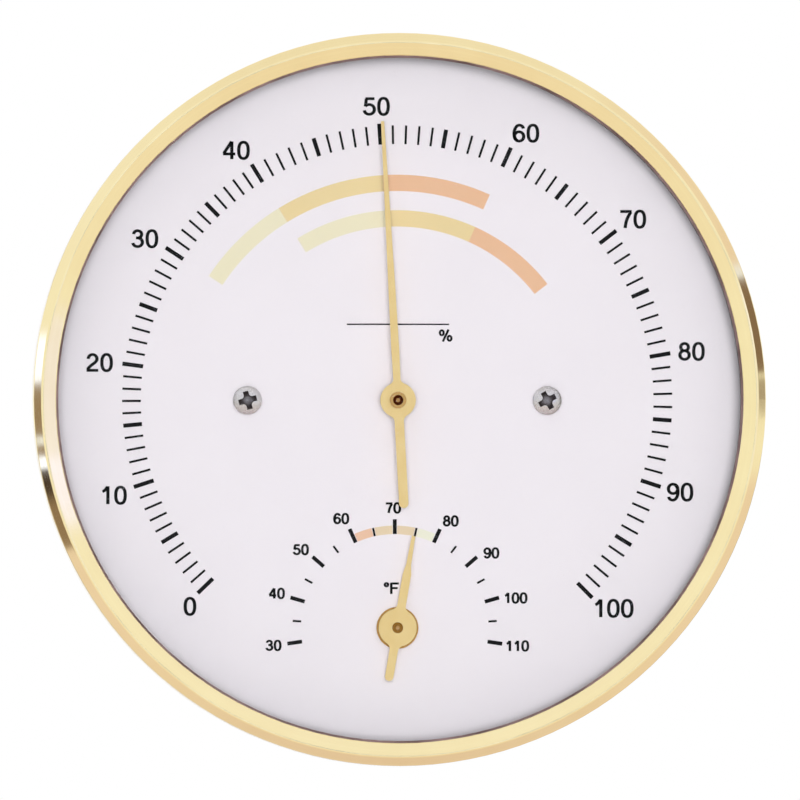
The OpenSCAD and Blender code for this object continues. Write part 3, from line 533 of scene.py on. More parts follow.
# Its recesses get grime and painted shade within 0.9 mm.
STEEL = Metal(
    "turned_steel",
    light=(0.60, 0.59, 0.58),
    deep=(0.42, 0.41, 0.40),
    smooth=0.16,
    rough=0.36,
    grain=Grain.TURNED,
    pitch=0.1 * MM,
    patch=2 * MM,
    grime_and_shade=(0.07, 0.035, 0.012),
    grime_and_shade_reach=0.9 * MM,
)
SMALL_STEEL = replace(
    STEEL, name="tumbled_steel", grain=Grain.TUMBLED, run=(0.3 * MM, 0.1 * MM, 0.3 * MM)
)
# The screws' cross recesses get grime and painted shade within 2.2 mm.
NICKEL = replace(
    SMALL_STEEL,
    name="nickelled_steel",
    light=(0.80, 0.77, 0.78),
    deep=(0.66, 0.63, 0.64),
    grime_and_shade=(0.11, 0.09, 0.09),
    grime_and_shade_reach=2.2 * MM,
)
TARNISHED_STEEL = replace(
    STEEL,
    name="tarnished_steel",
    light=(0.58, 0.33, 0.12),
    deep=(0.42, 0.22, 0.07),
    grime_and_shade=(0.20, 0.035, 0.002),
)
BROWNED_STEEL = replace(TARNISHED_STEEL, name="browned_steel", grime_and_shade=(0.42, 0.21, 0.03))
BLUED_STEEL = replace(
    STEEL, name="blued_steel", light=(0.07, 0.11, 0.30), deep=(0.05, 0.05, 0.14), depth=0.0004 * MM
)
BIMETAL = replace(
    STEEL, name="bimetal_strip", light=(0.62, 0.55, 0.44), deep=(0.45, 0.38, 0.29)
)
# The dial's paint darkens within 1.3 mm of its rim: painted shade of the bezel.
DIAL_PAINT = Enamel(
    "dial_paint", light=(0.853, 0.793, 0.85), deep=(0.833, 0.773, 0.83), edge=48.2 * MM
)
BLACK_INK = Ink("black_ink", full=(0.004, 0.004, 0.005), thin=(0.010, 0.010, 0.011))
GREEN_INK = Ink(
    "green_ink",
    full=(0.815, 0.745, 0.54),
    thin=(0.835, 0.77, 0.58),
    small=((0.82, 0.80, 0.67), (0.84, 0.825, 0.71)),
)
GOLD_INK = Ink(
    "gold_ink",
    full=(0.80, 0.625, 0.335),
    thin=(0.82, 0.655, 0.375),
    small=((0.76, 0.60, 0.41), (0.78, 0.63, 0.45)),
)
ORANGE_INK = Ink(
    "orange_ink",
    full=(0.80, 0.48, 0.305),
    thin=(0.82, 0.51, 0.34),
    small=((0.795, 0.505, 0.36), (0.815, 0.535, 0.395)),
)
RUBBER = Moulded(
    "dusty_rubber", base=(0.085, 0.052, 0.052), bloom=(0.23, 0.155, 0.16), smooth=0.6, rough=0.85
)
PLASTIC = Moulded(
    "black_plastic",
    base=(0.014, 0.013, 0.013),
    bloom=(0.024, 0.022, 0.021),
    smooth=0.35,
    rough=0.55,
)
HAIR = Fibre("synthetic_hair", light=(0.30, 0.17, 0.08), deep=(0.09, 0.045, 0.02))
GLASS = ClearGlass("clear_glass", body=(0.985, 0.992, 0.988))


# Surfaces on grids


def add_object(name: str, data: bpy.types.ID) -> Piece:
    """Makes an object from a mesh, a lamp or a camera and puts it in the scene."""
    thing = bpy.data.objects.new(name, data)
    bpy.context.scene.collection.objects.link(thing)
    return thing


def make_piece(
    name: str,
    points: np.ndarray,
    faces: list[list[int]],
    body: str,
    onto: tuple[str, Point, Point] | None = None,
) -> Piece:
    """Makes one piece from its corners and faces, and lets it ride on a body unless onto is given.

    Args:
        name: The piece's name.
        points: Corners, one row each, in metres.
        faces: Corner numbers of each face.
        body: The body it moves with.
        onto: For a piece that would bend, the second body, where the bend starts and where it ends;
            when given, the piece is only fixed where it stands and doesn't bend.

    Returns:
        The piece.
    """
    mesh = bpy.data.meshes.new(name)
    mesh.from_pydata(points.tolist(), [], faces)
    mesh.validate()
    piece = add_object(name, mesh)
    if onto:
        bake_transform(piece)
    else:
        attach(piece, body)
    LOG.info("built %s: %d faces", name, len(mesh.polygons))
    return piece


def grid_faces(rows: int, columns: int, loop: bool) -> np.ndarray:
    """Quads of a grid whose columns close on themselves.

    Args:
        rows: Number of rows of corners.
        columns: Number of corners in a row.
        loop: Whether the last row joins the first.

    Returns:
        Corner numbers, four to a row. Corner (i, j) has the number i * columns + j.
    """
    i, j = np.meshgrid(np.arange(rows if loop else rows - 1), np.arange(columns), indexing="ij")
    after, beside = (i + 1) % rows, (j + 1) % columns
    quads = [i * columns + j, i * columns + beside, after * columns + beside, after * columns + j]
    return np.stack(quads, -1).reshape(-1, 4)


# Lettering

ARC_STEP = 8.0  # degrees from point to point
BEND_POINTS = 14


def line(*points: Pair) -> Path:
    """Straight from point to point."""
    return np.array(points, float)


def arc(centre: Pair, reach: Pair, start: float, end: float, power: float = 2.0) -> Path:
    """Part of an oval.

    A point is the centre plus the reach times the cosine and the sine of the turn, each taken to
    2 / power with its sign kept; power 2 is an ellipse and more is squarer.

    Args:
        centre: Middle of the oval.
        reach: Half its width and half its height.
        start: First turn, in degrees from +X towards +Y.
        end: Last turn.
        power: How square it is.

    Returns:
        The points along it.
    """
    turn = np.radians(np.linspace(start, end, 3 + int(abs(end - start) / ARC_STEP)))
    sides = np.stack([np.cos(turn), np.sin(turn)], 1)
    return np.array(centre) + np.array(reach) * np.sign(sides) * np.abs(sides) ** (2 / power)


def bend(*points: Pair) -> Path:
    """A Bezier curve: the sum of its three or four points, each times its Bernstein weight."""
    share = np.linspace(0, 1, BEND_POINTS)[:, None]
    order = len(points) - 1
    weights = [
        math.comb(order, k) * share**k * (1 - share) ** (order - k) for k in range(order + 1)
    ]
    return sum(weight * np.array(point) for weight, point in zip(weights, points))


def join(*paths: Path) -> Path:
    """One path from several, each of which starts where the one before it ends."""
    return np.vstack([path[:-1] for path in paths[:-1]] + [paths[-1]])


def pen_strokes(sign: str) -> list[Path]:
    """The pen strokes of one sign, in units of the height of a capital.

    Args:
        sign: A digit or a mark.

    Returns:
        A path for each stroke. A path that ends where it starts is a closed ring.
    """
    if sign == "9":
        return [np.array([0.774, 0.995]) - path for path in pen_strokes("6")]
    return {
        "0": [arc((0.387, 0.497), (0.2665, 0.4585), 0, 360, 2.35)],
        "1": [line((0.459, 0), (0.459, 1.004)), bend((0.152, 0.697), (0.33, 0.77), (0.44, 0.985))],
        "2": [
            join(
                arc((0.382, 0.70), (0.246, 0.25), 180, 0),
                bend((0.628, 0.70), (0.628, 0.46), (0.17, 0.36), (0.112, 0.085)),
            ),
            line((0.042, 0.059), (0.703, 0.059)),
        ],
        "3": [
            arc((0.365, 0.745), (0.225, 0.205), 178, -90),
            arc((0.365, 0.297), (0.27, 0.243), 90, -172),
            line((0.27, 0.545), (0.365, 0.543)),
        ],
        "4": [
            line((0.513, 0), (0.513, 1)),
            line((0.018, 0.296), (0.709, 0.296)),
            line((0.062, 0.33), (0.50, 0.985)),
        ],
        "5": [
            line((0.155, 0.929), (0.662, 0.929)),
            line((0.205, 0.93), (0.148, 0.49)),
            arc((0.365, 0.326), (0.289, 0.274), 140, -170),
        ],
        "6": [
            join(
                arc((0.40, 0.74), (0.235, 0.211), 5, 90),
                arc((0.40, 0.47), (0.29, 0.481), 90, 180),
                arc((0.40, 0.47), (0.29, 0.418), 180, 270),
            ),
            arc((0.39, 0.315), (0.262, 0.263), 0, 360),
        ],
        "7": [
            line((0.066, 0.929), (0.7135, 0.929)),
            bend((0.672, 0.90), (0.38, 0.50), (0.345, 0)),
        ],
        "8": [
            arc((0.387, 0.742), (0.215, 0.205), 0, 360),
            arc((0.387, 0.295), (0.262, 0.243), 0, 360),
        ],
        "%": [
            arc((0.27, 0.74), (0.165, 0.215), 0, 360),
            arc((0.95, 0.26), (0.165, 0.215), 0, 360),
            line((0.36, -0.03), (0.86, 1.03)),
        ],
        "°": [arc((0.24, 0.83), (0.14, 0.14), 0, 360)],
        "F": [
            line((0.10, 0), (0.10, 1)),
            line((0.10, 0.94), (0.78, 0.94)),
            line((0.10, 0.53), (0.68, 0.53)),
        ],
    }[sign]


@dataclass
class Print:
    """Marks of ink on the dial, gathered into one piece.

    Each stroke is a closed slab: a path carried between the ink's face and just under the paint,
    and widened to both sides along its normal. Widths of strokes and steps from sign to sign are
    in heights of a capital.
    """

    face: float
    foot: float
    upright: float = 0.0625
    level: float = 0.054
    step: float = 0.782
    narrow_step: float = 0.57
    points: list[np.ndarray] = field(default_factory=list)
    faces: list[list[int]] = field(default_factory=list)

    def stroke(self, path: Path, half: np.ndarray) -> None:
        """Adds one slab.

        At each point of the path its four corners are the path plus or minus half the width
        along the normal, at the ink's face and at its foot.

        Args:
            path: Points in the dial's plane, in metres, to the right and up.
            half: Half the width at each point.
        """
        closed = bool(np.allclose(path[0], path[-1], atol=1e-9))
        if closed:
            path, half = path[:-1], half[:-1]
            along = np.roll(path, -1, 0) - np.roll(path, 1, 0)
        else:
            along = np.gradient(path, axis=0)
        along /= np.linalg.norm(along, axis=1, keepdims=True)
        side = np.stack([-along[:, 1], along[:, 0]], 1) * half[:, None]
        edges = np.stack([path + side, path - side, path - side, path + side], 1)
        depth = np.broadcast_to([self.face, self.face, self.foot, self.foot], edges.shape[:2])
        corners = np.stack([edges[..., 0], depth, edges[..., 1]], -1).reshape(-1, 3)
        start = sum(len(part) for part in self.points)
        self.points.append(corners)
        self.faces += (grid_faces(len(path), 4, closed) + start).tolist()
        if not closed:
            last = start + 4 * len(path) - 4
            self.faces.append([start + 3, start + 2, start + 1, start])
            self.faces.append([last, last + 1, last + 2, last + 3])

    def word(self, text: str, at: Pair, height: float, weight: float) -> None:
        """Writes a number or a sign around a point.

        The half width of a stroke is the root of (upright * normal X)^2 + (level * normal Y)^2, so
        upright strokes are a little heavier, as in a printed sans serif.

        Args:
            text: What to write.
            at: Middle of the written ink, in metres.
            height: Height of a capital, in metres.
            weight: How heavy the strokes are; 1 is normal.
        """
        paths, reach = [], 0.0
        for sign in text:
            paths += [path + (reach, 0.0) for path in pen_strokes(sign)]
            reach += self.narrow_step if sign == "°" else self.step
        every = np.vstack(paths)
        middle = (every.min(0) + every.max(0)) / 2
        for path in paths:
            along = np.gradient(path, axis=0)
            along /= np.linalg.norm(along, axis=1, keepdims=True)
            half = np.hypot(self.upright * along[:, 1], self.level * along[:, 0]) * weight
            self.stroke((path - middle) * height + np.array(at), half * height)

    def piece(self, name: str) -> Piece:
        """Joins the marks into one piece that rides on the case."""
        return make_piece(name, np.vstack(self.points), self.faces, "case")


# Sub-assemblies


@dataclass(frozen=True)
class Assembly:
    """CAD pieces that belong together, in one row of names for each finish."""

    rows: tuple[tuple[Finish, str], ...]

    def dress(self, nodes: dict[str, Piece]) -> None:
        """Gives every piece its finish."""
        for finish, names in self.rows:
            finish.dress(*(nodes[name] for name in names.split()))


CASE = Assembly(
    (
        (POLISHED_BRASS, "bezel_ring case_body"),
        (SPUN_BRASS, "back_cover dial_seat_ring"),
        (NICKEL, "cover_screws"),
        (RUBBER, "lens_gasket"),
        (PLASTIC, "spacer_ring"),
        (GLASS, "glass_lens"),
    )
)
PRINTED_DIAL = Assembly(
    (
        (DIAL_PAINT, "dial_plate"),
        (BLACK_INK, "humidity_ticks temperature_ticks"),
        (GREEN_INK, "green_bands"),
        (GOLD_INK, "gold_bands"),
        (ORANGE_INK, "orange_bands"),
        (NICKEL, "dial_screws"),
    )
)
MOVEMENT = Assembly(
    (
        (SHEET_BRASS, "front_plate back_plate sector_gear"),
        (TURNED_BRASS, "sector_hub pinion spring_collet spring_stud"),
        (AGED_BRASS, "pointer_collet"),
        (SMALL_BRASS, "dial_spacers plate_pillars pointer_bushes sector_bushes"),
        (STEEL, "sector_arbor hair_pin"),
        (TARNISHED_STEEL, "pointer_arbor"),
        (SMALL_STEEL, "plate_screws"),
        (BLUED_STEEL, "tension_spring"),
        (POINTER_BRASS, "humidity_pointer"),
    )
)
ADJUSTER = Assembly(
    (
        (TURNED_BRASS, "adjusting_spindle"),
        (STEEL, "spindle_washer spindle_clip"),
    )
)
THERMOMETER = Assembly(
    (
        (TURNED_BRASS, "thermometer_nut coil_collet"),
        (BROWNED_BRASS, "thermometer_bush thermometer_collet"),
        (SHEET_BRASS, "bimetal_bracket"),
        (BIMETAL, "bimetal_coil"),
        (BROWNED_STEEL, "thermometer_arbor"),
        (POINTER_BRASS, "thermometer_pointer"),
    )
)


@dataclass
class Printing:
    """The numerals and marks that are printed on the dial.

    Each numeral is given by its turn and its distance, as for polar, in steps of ten from 0 or
    from 30; large and small are their heights and weights. A unit is given by its text, place,
    height and weight.
    """

    face: float = -21.85 * MM
    foot: float = -21.78 * MM
    large: Pair = (2.5 * MM, 1.5)
    small: Pair = (1.45 * MM, 1.95)
    small_centre: Pair = (0.0, -32 * MM)
    rule: tuple[float, float, float] = (-7.1 * MM, 7.3 * MM, 10.73 * MM)
    rule_width: float = 0.2 * MM
    units: tuple[tuple[str, Pair, float, float], ...] = (
        ("%", (6.82 * MM, 9.15 * MM), 1.6 * MM, 1.65),
        ("°F", (-0.76 * MM, -26.45 * MM), 1.58 * MM, 1.8),
    )
    humidity: tuple[Pair, ...] = (
        (-134.8, 41.14),
        (-108.5, 42.08),
        (-82.8, 42.34),
        (-57.4, 42.21),
        (-32.9, 41.92),
        (-4.1, 41.51),
        (25.7, 41.78),
        (52.4, 41.81),
        (80.5, 42.04),
        (107.9, 41.87),
        (133.8, 42.23),
    )
    temperature: tuple[Pair, ...] = (
        (-98.1, 17.61),
        (-74.1, 17.69),
        (-51.0, 17.49),
        (-27.2, 17.28),
        (-2.1, 16.87),
        (26.6, 16.83),
        (51.5, 16.94),
        (75.8, 17.20),
        (98.5, 17.10),
    )

    @staticmethod
    def polar(turn: float, reach: float, centre: Pair = (0.0, 0.0)) -> Pair:
        """A point on the dial.

        Args:
            turn: Degrees clockwise from the top.
            reach: Distance from the centre, in millimetres.
            centre: The scale's centre, in metres.

        Returns:
            The point, to the right and up, in metres.
        """
        angle = math.radians(turn)
        across, up = reach * MM * math.sin(angle), reach * MM * math.cos(angle)
        return centre[0] + across, centre[1] + up

    def numerals(self) -> list[Piece]:
        """Prints the numerals of both scales."""
        wide, near = Print(self.face, self.foot), Print(self.face, self.foot)
        for k, spot in enumerate(self.humidity):
            wide.word(str(10 * k), self.polar(*spot), *self.large)
        for k, spot in enumerate(self.temperature):
            near.word(str(30 + 10 * k), self.polar(*spot, self.small_centre), *self.small)
        return [wide.piece("humidity_numerals"), near.piece("temperature_numerals")]

    def marks(self) -> Piece:
        """Prints the unit of each scale, and the thin rule above the first."""
        print_ = Print(self.face, self.foot)
        left, right, height = self.rule
        path = line((left, height), (right, height))
        print_.stroke(path, np.full(2, self.rule_width / 2))
        for unit in self.units:
            print_.word(*unit)
        return print_.piece("unit_marks")

    def build(self) -> None:
        """Builds and dresses the printing."""
        BLACK_INK.dress(*self.numerals(), self.marks())


@dataclass
class HairBundle:
    """Fine strands side by side, held at each end in a crimped ferrule with an eye.

    The left ferrule rides on the sector and the right one on the adjusting spindle. The strands
    are two halves that meet in the middle; they don't bend and stay where they are built.
    """

    left_eye: float = -14.0007 * MM
    right_eye: float = 40.0097 * MM
    depth: float = -10.6 * MM
    height: float = 16.4 * MM
    strand: float = 0.09 * MM
    across: int = 10
    layers: int = 3
    side_pitch: float = 0.14 * MM
    layer_pitch: float = 0.075 * MM
    sway: float = 0.008 * MM
    sway_run: float = 4.6 * MM
    phase_step: float = 2.4
    rows: int = 24
    sides: int = 6
    held: float = 1.5 * MM
    bent: float = 9 * MM
    grip: float = 1.8 * MM
    heel: float = 1.0 * MM
    half_width: float = 0.95 * MM
    half_thickness: float = 0.4 * MM
    eye: float = 0.34 * MM
    soft: float = 0.12 * MM
    squareness: int = 6
    crimped: Pair = (0.62 * MM, 1.52 * MM)
    ridge_pitch: float = 0.3 * MM
    ridge_depth: float = 0.13 * MM
    turns: int = 72
    steps: int = 13

    def strands(
        self, name: str, start: float, end: float, body: str, onto: tuple[str, float, float]
    ) -> Piece:
        """Builds one half of the strands.

        Each is a six-sided tube along X. Its middle is its place in the stack plus a slow sine of
        its own phase; neighbouring layers are shifted by half a pitch.

        Args:
            name: The piece's name.
            start: Where the half starts along X.
            end: Where it ends.
            body: Not used: make_piece ignores it here, so the half follows no body.
            onto: The body it would follow at its end, and where along X it would bend over to it;
                only its presence counts, and the half is fixed in place without bending.

        Returns:
            The piece.
        """
        rows, sides = self.rows, self.sides
        count = self.across * self.layers
        index = np.arange(count)
        layer, place = index // self.across, index % self.across
        middle = (self.across - 1) / 2
        up = (place - middle) * self.side_pitch + (layer % 2 - 0.5) * self.side_pitch / 2
        back = (layer - (self.layers - 1) / 2) * self.layer_pitch
        along = np.linspace(start, end, rows)
        turn = np.linspace(0, 2 * math.pi, sides, endpoint=False)
        phase = (index * self.phase_step)[:, None]
        wave = self.sway * np.sin(along[None, :] / self.sway_run + phase)
        shape = (count, rows, sides)
        x = np.broadcast_to(along[None, :, None], shape)
        y = self.depth + back[:, None, None] + self.strand / 2 * np.cos(turn) + 0 * x
        z = self.height + (up[:, None] + wave)[..., None] + self.strand / 2 * np.sin(turn)
        points = np.stack([x, y, z], -1).reshape(-1, 3)
        one = grid_faces(rows, sides, False)
        faces = [(one + k * rows * sides).tolist() for k in range(count)]
        faces = [face for part in faces for face in part]
        for k in range(count):
            first, last = k * rows * sides, ((k + 1) * rows - 1) * sides
            faces.append(list(range(first + sides - 1, first - 1, -1)))
            faces.append(list(range(last, last + sides)))
        first, last = ((x, self.depth, self.height) for x in onto[1:])
        return make_piece(name, points, faces, body, (onto[0], first, last))

    def ferrule(self, eye: float, toward: int) -> np.ndarray:
        """One crimped end, as a ring of cross-sections around its eye.

        Its outline is a rounded rectangle: (x / length)^6 + (z / width)^6 = 1, counted from the
        eye. Each cross-section goes from the eye out along the front, round the rim and back along
        the rear. Ridges from the crimping tool lower both faces by a cosine of the distance.

        Args:
            eye: Where the eye is along X.
            toward: 1 where the hair leaves to +X, -1 where it leaves to -X.

        Returns:
            Points by turn and by place in the section.
        """
        turn = np.linspace(0, 2 * math.pi, self.turns, endpoint=False)[:, None]
        c, s = np.cos(turn), np.sin(turn)
        reach = np.where(c > 0, self.grip, self.heel)
        power, soft = self.squareness, self.soft
        rim = (np.abs(c / reach) ** power + np.abs(s / self.half_width) ** power) ** (-1 / power)
        share = np.linspace(0, 1, self.steps)[None, :]
        out = self.eye + soft + share * (rim - self.eye - 2 * soft)
        x = out * c
        first, last = self.crimped
        ridge = 0.5 - 0.5 * np.cos((x - first) / self.ridge_pitch * 2 * math.pi)
        front = self.half_thickness - self.ridge_depth * ridge * ((x > first) & (x < last))
        low = np.full_like(turn, self.half_thickness - soft)
        hole = np.full_like(turn, self.eye)
        distance = np.hstack([out, rim, rim, out[:, ::-1], hole, hole])
        level = np.hstack([front, low, -low, -front[:, ::-1], -low, low])
        return np.stack(
            [eye + toward * distance * c, self.depth - level, self.height + distance * s], -1
        )

    def crimp(self, name: str, eye: float, toward: int, body: str) -> Piece:
        """Builds one crimped end on its body; eye and toward are as for ferrule."""
        ring = self.ferrule(eye, toward)
        quads = grid_faces(ring.shape[0], ring.shape[1], True)[:, ::toward]
        return make_piece(name, ring.reshape(-1, 3), quads.tolist(), body)

    def build(self) -> None:
        """Builds and dresses the bundle, which stands for the plain CAD strip."""
        start, end = self.left_eye + self.held, self.right_eye - self.held
        middle = (start + end) / 2
        out, back = self.left_eye + self.grip, self.right_eye - self.grip
        bend_out = ("case", out, out + self.bent)
        bend_back = ("adjuster", back - self.bent, back)
        strands = [
            self.strands("hair_strands_left", start, middle, "sector_unit", bend_out),
            self.strands("hair_strands_right", middle, end, "case", bend_back),
        ]
        crimps = [
            self.crimp("hair_crimp_left", self.left_eye, 1, "sector_unit"),
            self.crimp("hair_crimp_right", self.right_eye, -1, "adjuster"),
        ]
        for piece in strands + crimps:
            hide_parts("hair_bundle")
        HAIR.dress(*strands)
        SMALL_STEEL.dress(*crimps)


# Studio


WHITE: Colour = (1.0, 1.0, 1.0)
TAN: Colour = (0.90, 0.78, 0.79)
BROWN: Colour = (0.30, 0.22, 0.17)
DUSK: Colour = (0.34, 0.26, 0.21)
DARK: Colour = (0.25, 0.175, 0.14)
BLACK: Colour = (0.07, 0.05, 0.045)
GLOW: Colour = (1.0, 1.1, 1.6)
LAMP: Colour = (1.35, 1.55, 2.6)

Stops = list[tuple[float, Colour, float]]


def flat(start: float, end: float, tone: Colour, alpha: float = 1.0) -> Stops:
    """Two stops with one tone between them."""
    return [(start, tone, alpha), (end, tone, alpha)]


# Tones of the mirrored room from straight below (0) to straight above (1)
ROOM: Stops = [
    (0.0, (0.83, 0.70, 0.71), 1.0),
    (0.225, (0.94, 0.85, 0.79), 1.0),
    (0.5, WHITE, 1.0),
    (0.775, (1.0, 1.0, 1.06), 1.0),
    (1.0, (0.94, 0.91, 0.91), 1.0),
]

# Directions, each as the range of a part of the direction over which it fades in
LEVEL: Pair = (0.87, 0.64)
BESIDE: Pair = (0.36, 0.28)
TO_RIGHT: Pair = (0.0, 0.1)
TO_LEFT: Pair = (0.0, -0.1)
AHEAD_NEAR: Pair = (0.36, 0.44)
AHEAD_FAR: Pair = (0.72, 0.64)
FORWARD: Pair = (-0.5, -0.6)
BACKWARD: Pair = (0.4, 0.6)

# Bands over it at the right, at the left and ahead, by degrees above the horizon up to BAND
BAND = 30.0
RIGHT: Stops = [
    *flat(-30.0, -12.5, TAN),
    (-9.5, TAN, 0.0),
    (-1.2, DARK, 0.0),
    (-0.8, DARK, 0.8),
    (0.4, DARK, 0.6),
    *flat(0.8, 1.4, DARK, 0.1),
    *flat(1.8, 4.2, DARK, 0.75),
    *flat(4.6, 5.1, DARK, 0.1),
    *flat(5.6, 19.6, DARK),
    *flat(20.2, 21.6, GLOW),
    (22.2, TAN, 1.0),
    (30.0, TAN, 0.8),
]
LEFT: Stops = [
    *flat(-30.0, -24.6, TAN),
    *flat(-23.8, -16.5, BROWN),
    *flat(-14.5, -10.6, BLACK),
    *flat(-10.1, -8.7, LAMP),
    *flat(-8.2, -6.8, DUSK),
    *flat(-6.3, -5.0, GLOW),
    *flat(-4.5, 3.2, DUSK),
    *flat(3.8, 11.2, LAMP),
    (12.4, WHITE, 0.0),
]
AHEAD: Stops = [
    (-7.0, (1.0, 1.01, 1.4), 0.0),
    *flat(-5.5, 5.5, (1.0, 1.01, 1.4)),
    *flat(6.5, 11.5, (1.1, 1.15, 1.9)),
    (13.0, WHITE, 0.0),
]

# Bands over it behind the object, which only its tube mirrors, seen from the side
BEHIND: Stops = [
    (-30.0, (0.80, 0.67, 0.62), 0.6),
    (-22.0, (0.52, 0.42, 0.35), 0.9),
    (-6.0, (0.45, 0.36, 0.30), 0.9),
    *flat(-2.5, 11.0, WHITE, 0.0),
    *flat(13.5, 18.0, (0.62, 0.52, 0.45), 0.7),
    (22.0, WHITE, 0.0),
]


@dataclass
class Studio:
    """A pale floor, a white surround, three soft lamps and the camera.

    The width is what the picture spans at the dial. A lamp is given by its name, place, size and
    share; the wide one gives the soft halos that the hubs and pointers throw on the dial. A spot
    in the mirrored room is given by the two angles between which it fades in, and its tone.
    """

    distance: float = 4.5
    width: float = 0.103 * 800 / 733.5
    sensor: float = 36.0
    far: float = 50.0
    turn: float = -2.3
    lift: float = -1.1
    aim: Point = (-0.00002, -0.0319, -0.00012)
    surround: float = 0.13
    floor_height: float = -0.35
    floor_half: float = 6.0
    floor_grain: float = 0.01
    floor_tones: tuple[Colour, Colour] = ((0.80, 0.80, 0.80), (0.83, 0.83, 0.83))
    floor_fade: Pair = (0.45, 1.0)
    floor_glow: Pair = (0.5, 1.0)
    glow: tuple[Pair, Colour] = ((15.0, 8.0), (1.15, 1.22, 1.5))
    gap: tuple[Pair, Colour] = ((1.8, 1.2), (0.02, 0.02, 0.02))
    lamps: tuple[tuple[str, Point, Pair, float], ...] = (
        ("front_softbox", (-0.03, -2.6, 0.03), (0.85, 0.85), 0.72),
        ("wide_softbox", (-0.15, -2.5, -0.3), (3.4, 3.4), 0.27),
        ("top_softbox", (0.0, -0.8, 1.3), (1.0, 0.6), 0.05),
    )

    def toward_camera(self) -> Vector:
        """The direction from the object to the camera, of length one."""
        turn, lift = math.radians(self.turn), math.radians(self.lift)
        level = math.cos(lift)
        return Vector((math.sin(turn) * level, -math.cos(turn) * level, math.sin(lift)))

    def camera(self) -> None:
        """Sets up the camera far off, a little to the left of straight ahead and below it."""
        data = bpy.data.cameras.new("camera")
        data.sensor_width = self.sensor
        data.lens = self.sensor * self.distance / self.width
        data.clip_end = self.far
        away = self.toward_camera() * self.distance
        camera = add_object("camera", data)
        camera.location = Vector(self.aim) + away
        camera.rotation_euler = (-away).to_track_quat("-Z", "Y").to_euler()
        bpy.context.scene.camera = camera

    def lamp(self, name: str, at: Point, size: Pair, share: float) -> None:
        """Adds a soft lamp that faces the object and isn't mirrored.

        Its power is share * pi * area / fill, where fill is the part of a half sphere that its
        rectangle takes up, each direction counted by its cosine. A white surface that faces it
        then renders as share.

        Args:
            name: Its name.
            at: Where it stands.
            size: Its width and height.
            share: How bright it makes a white surface.
        """
        data = bpy.data.lights.new(name, "AREA")
        data.shape = "RECTANGLE"
        data.size, data.size_y = size
        across, up = (side / 2 / Vector(at).length for side in size)
        fill = across / math.hypot(1, across) * math.atan(up / math.hypot(1, across))
        fill += up / math.hypot(1, up) * math.atan(across / math.hypot(1, up))
        data.energy = share * math.pi * size[0] * size[1] / (fill * 2 / math.pi)
        lamp = add_object(name, data)
        lamp.location = at
        lamp.rotation_euler = (-Vector(at)).to_track_quat("-Z", "Y").to_euler()
        lamp.visible_glossy = False
        lamp.visible_camera = False

    def mirrored_room(self, graph: Graph) -> Socket:
        """What shiny metal sees: a white room with lamps, and dark gaps at both sides."""
        way = graph.node("ShaderNodeTexCoord").outputs["Generated"]
        axes = graph.node("ShaderNodeSeparateXYZ", {0: way}).outputs
        rise = graph.maths("MULTIPLY_ADD", axes["Z"], 0.5, 0.5)
        room = graph.ramp(rise, ROOM).outputs["Color"]
        degree = 1 / (2 * BAND)
        angle = graph.maths("ARCSINE", axes["Z"])
        height = graph.maths("MULTIPLY_ADD", angle, math.degrees(degree), 0.5)
        level = graph.span(graph.maths("ABSOLUTE", axes["Z"]), LEVEL)
        beside = graph.span(graph.maths("ABSOLUTE", axes["Y"]), BESIDE)
        beside = graph.maths("MULTIPLY", beside, level)
        to_right = graph.maths("MULTIPLY", beside, graph.span(axes["X"], TO_RIGHT))
        to_left = graph.maths("MULTIPLY", beside, graph.span(axes["X"], TO_LEFT))
        begins, ends = graph.span(axes["X"], AHEAD_NEAR), graph.span(axes["X"], AHEAD_FAR)
        forward = graph.span(axes["Y"], FORWARD)
        to_front = graph.maths("MULTIPLY", graph.maths("MULTIPLY", begins, ends), forward)
        to_back = graph.span(axes["Y"], BACKWARD)
        sides = ((to_right, RIGHT), (to_left, LEFT), (to_front, AHEAD), (to_back, BEHIND))
        for share, stops in sides:
            stops = [(place * degree + 0.5, colour, alpha) for place, colour, alpha in stops]
            ramp = graph.ramp(height, stops).outputs
            share = graph.maths("MULTIPLY", share, ramp["Alpha"])
            room = graph.blend(share, room, ramp["Color"])
        mirrored = self.toward_camera() * Vector((-1.0, 1.0, -1.0))
        for middle, (angles, tone) in (((0.0, -1.0, 0.0), self.glow), (mirrored, self.gap)):
            inputs = {0: way, 1: middle}
            near = graph.node("ShaderNodeVectorMath", inputs, operation="DOT_PRODUCT")
            limits = tuple(math.cos(math.radians(angle)) for angle in angles)
            room = graph.blend(graph.span(near.outputs["Value"], limits), room, tone)
        return room

    @staticmethod
    def rays(graph: Graph) -> tuple[Socket, Socket]:
        """Two values: 1 where the camera looks, also through glass, and 1 where metal mirrors."""
        rays = graph.node("ShaderNodeLightPath").outputs
        seen = graph.maths("MAXIMUM", rays["Is Camera Ray"], rays["Is Transmission Ray"])
        return seen, rays["Is Glossy Ray"]

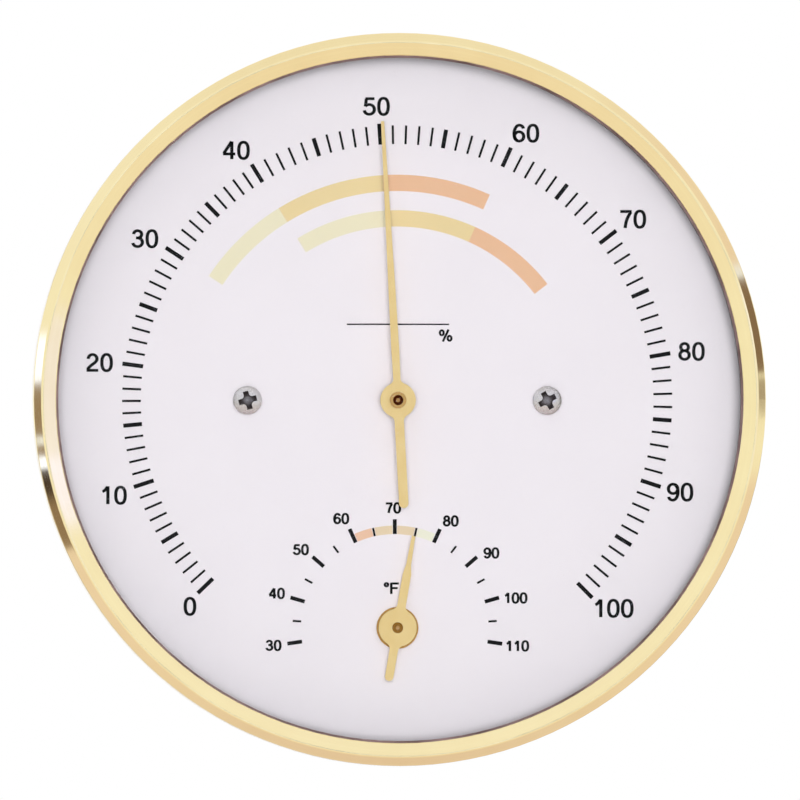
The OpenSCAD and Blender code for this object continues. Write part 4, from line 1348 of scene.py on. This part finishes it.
    def surroundings(self) -> None:
        """White to the camera and through glass, the room to shiny metal, dim light otherwise."""
        world = bpy.data.worlds.new("surround")
        world.use_nodes = True
        bpy.context.scene.world = world
        graph = Graph(world.node_tree)
        seen, glossy = self.rays(graph)
        colour = graph.blend(seen, (self.surround,) * 3, WHITE)
        colour = graph.blend(glossy, colour, self.mirrored_room(graph))
        light = graph.node("ShaderNodeBackground", {"Color": colour}).outputs[0]
        graph.node("ShaderNodeOutputWorld", {"Surface": light})

    def floor(self) -> None:
        """A pale floor well under the object, white far off and keeping shadows near it."""
        half, low = self.floor_half, self.floor_height
        corners = [(-half, -half, low), (half, -half, low), (half, half, low), (-half, half, low)]
        mesh = bpy.data.meshes.new("floor")
        mesh.from_pydata(corners, [], [(0, 1, 2, 3)])
        floor = add_object("floor", mesh)
        material = bpy.data.materials.new("floor")
        material.use_nodes = True
        graph = Graph(material.node_tree)
        seen = graph.maths("MAXIMUM", *self.rays(graph))
        tone = graph.blend(graph.cloud(ORIGIN, (self.floor_grain,) * 3, 3.0), *self.floor_tones)
        paint = graph.node("ShaderNodeBsdfDiffuse", {"Color": tone}).outputs[0]
        glow = graph.node("ShaderNodeEmission", {"Color": WHITE}).outputs[0]
        away = graph.length(graph.place(ORIGIN, METRE))
        share = graph.maths("MULTIPLY", seen, graph.span(away, self.floor_fade, self.floor_glow))
        mixed = graph.node("ShaderNodeMixShader", {0: share, 1: paint, 2: glow}).outputs[0]
        graph.node("ShaderNodeOutputMaterial", {"Surface": mixed})
        mesh.materials.append(material)
        floor.visible_glossy = False
        floor.visible_shadow = False  # the wide lamp reaches below it
        floor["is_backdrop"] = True

    def build(self) -> None:
        """Sets up the camera, the lamps, the surroundings and the floor."""
        bpy.context.scene.view_settings.view_transform = "Standard"
        self.camera()
        for lamp in self.lamps:
            self.lamp(*lamp)
        self.surroundings()
        self.floor()


def main() -> None:
    """Builds the studio, then builds and dresses the sub-assemblies in order."""
    logging.basicConfig(level=logging.INFO, format="%(message)s")
    nodes = frame["nodes"]
    Studio().build()
    CASE.dress(nodes)
    PRINTED_DIAL.dress(nodes)
    Printing().build()
    MOVEMENT.dress(nodes)
    HairBundle().build()
    ADJUSTER.dress(nodes)
    THERMOMETER.dress(nodes)
    sizes = {"cad": CAD_BOX, "visual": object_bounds()}
    sizes = {name: [list(map(float, corner)) for corner in box] for name, box in sizes.items()}


if __name__ == "__main__":
    main()
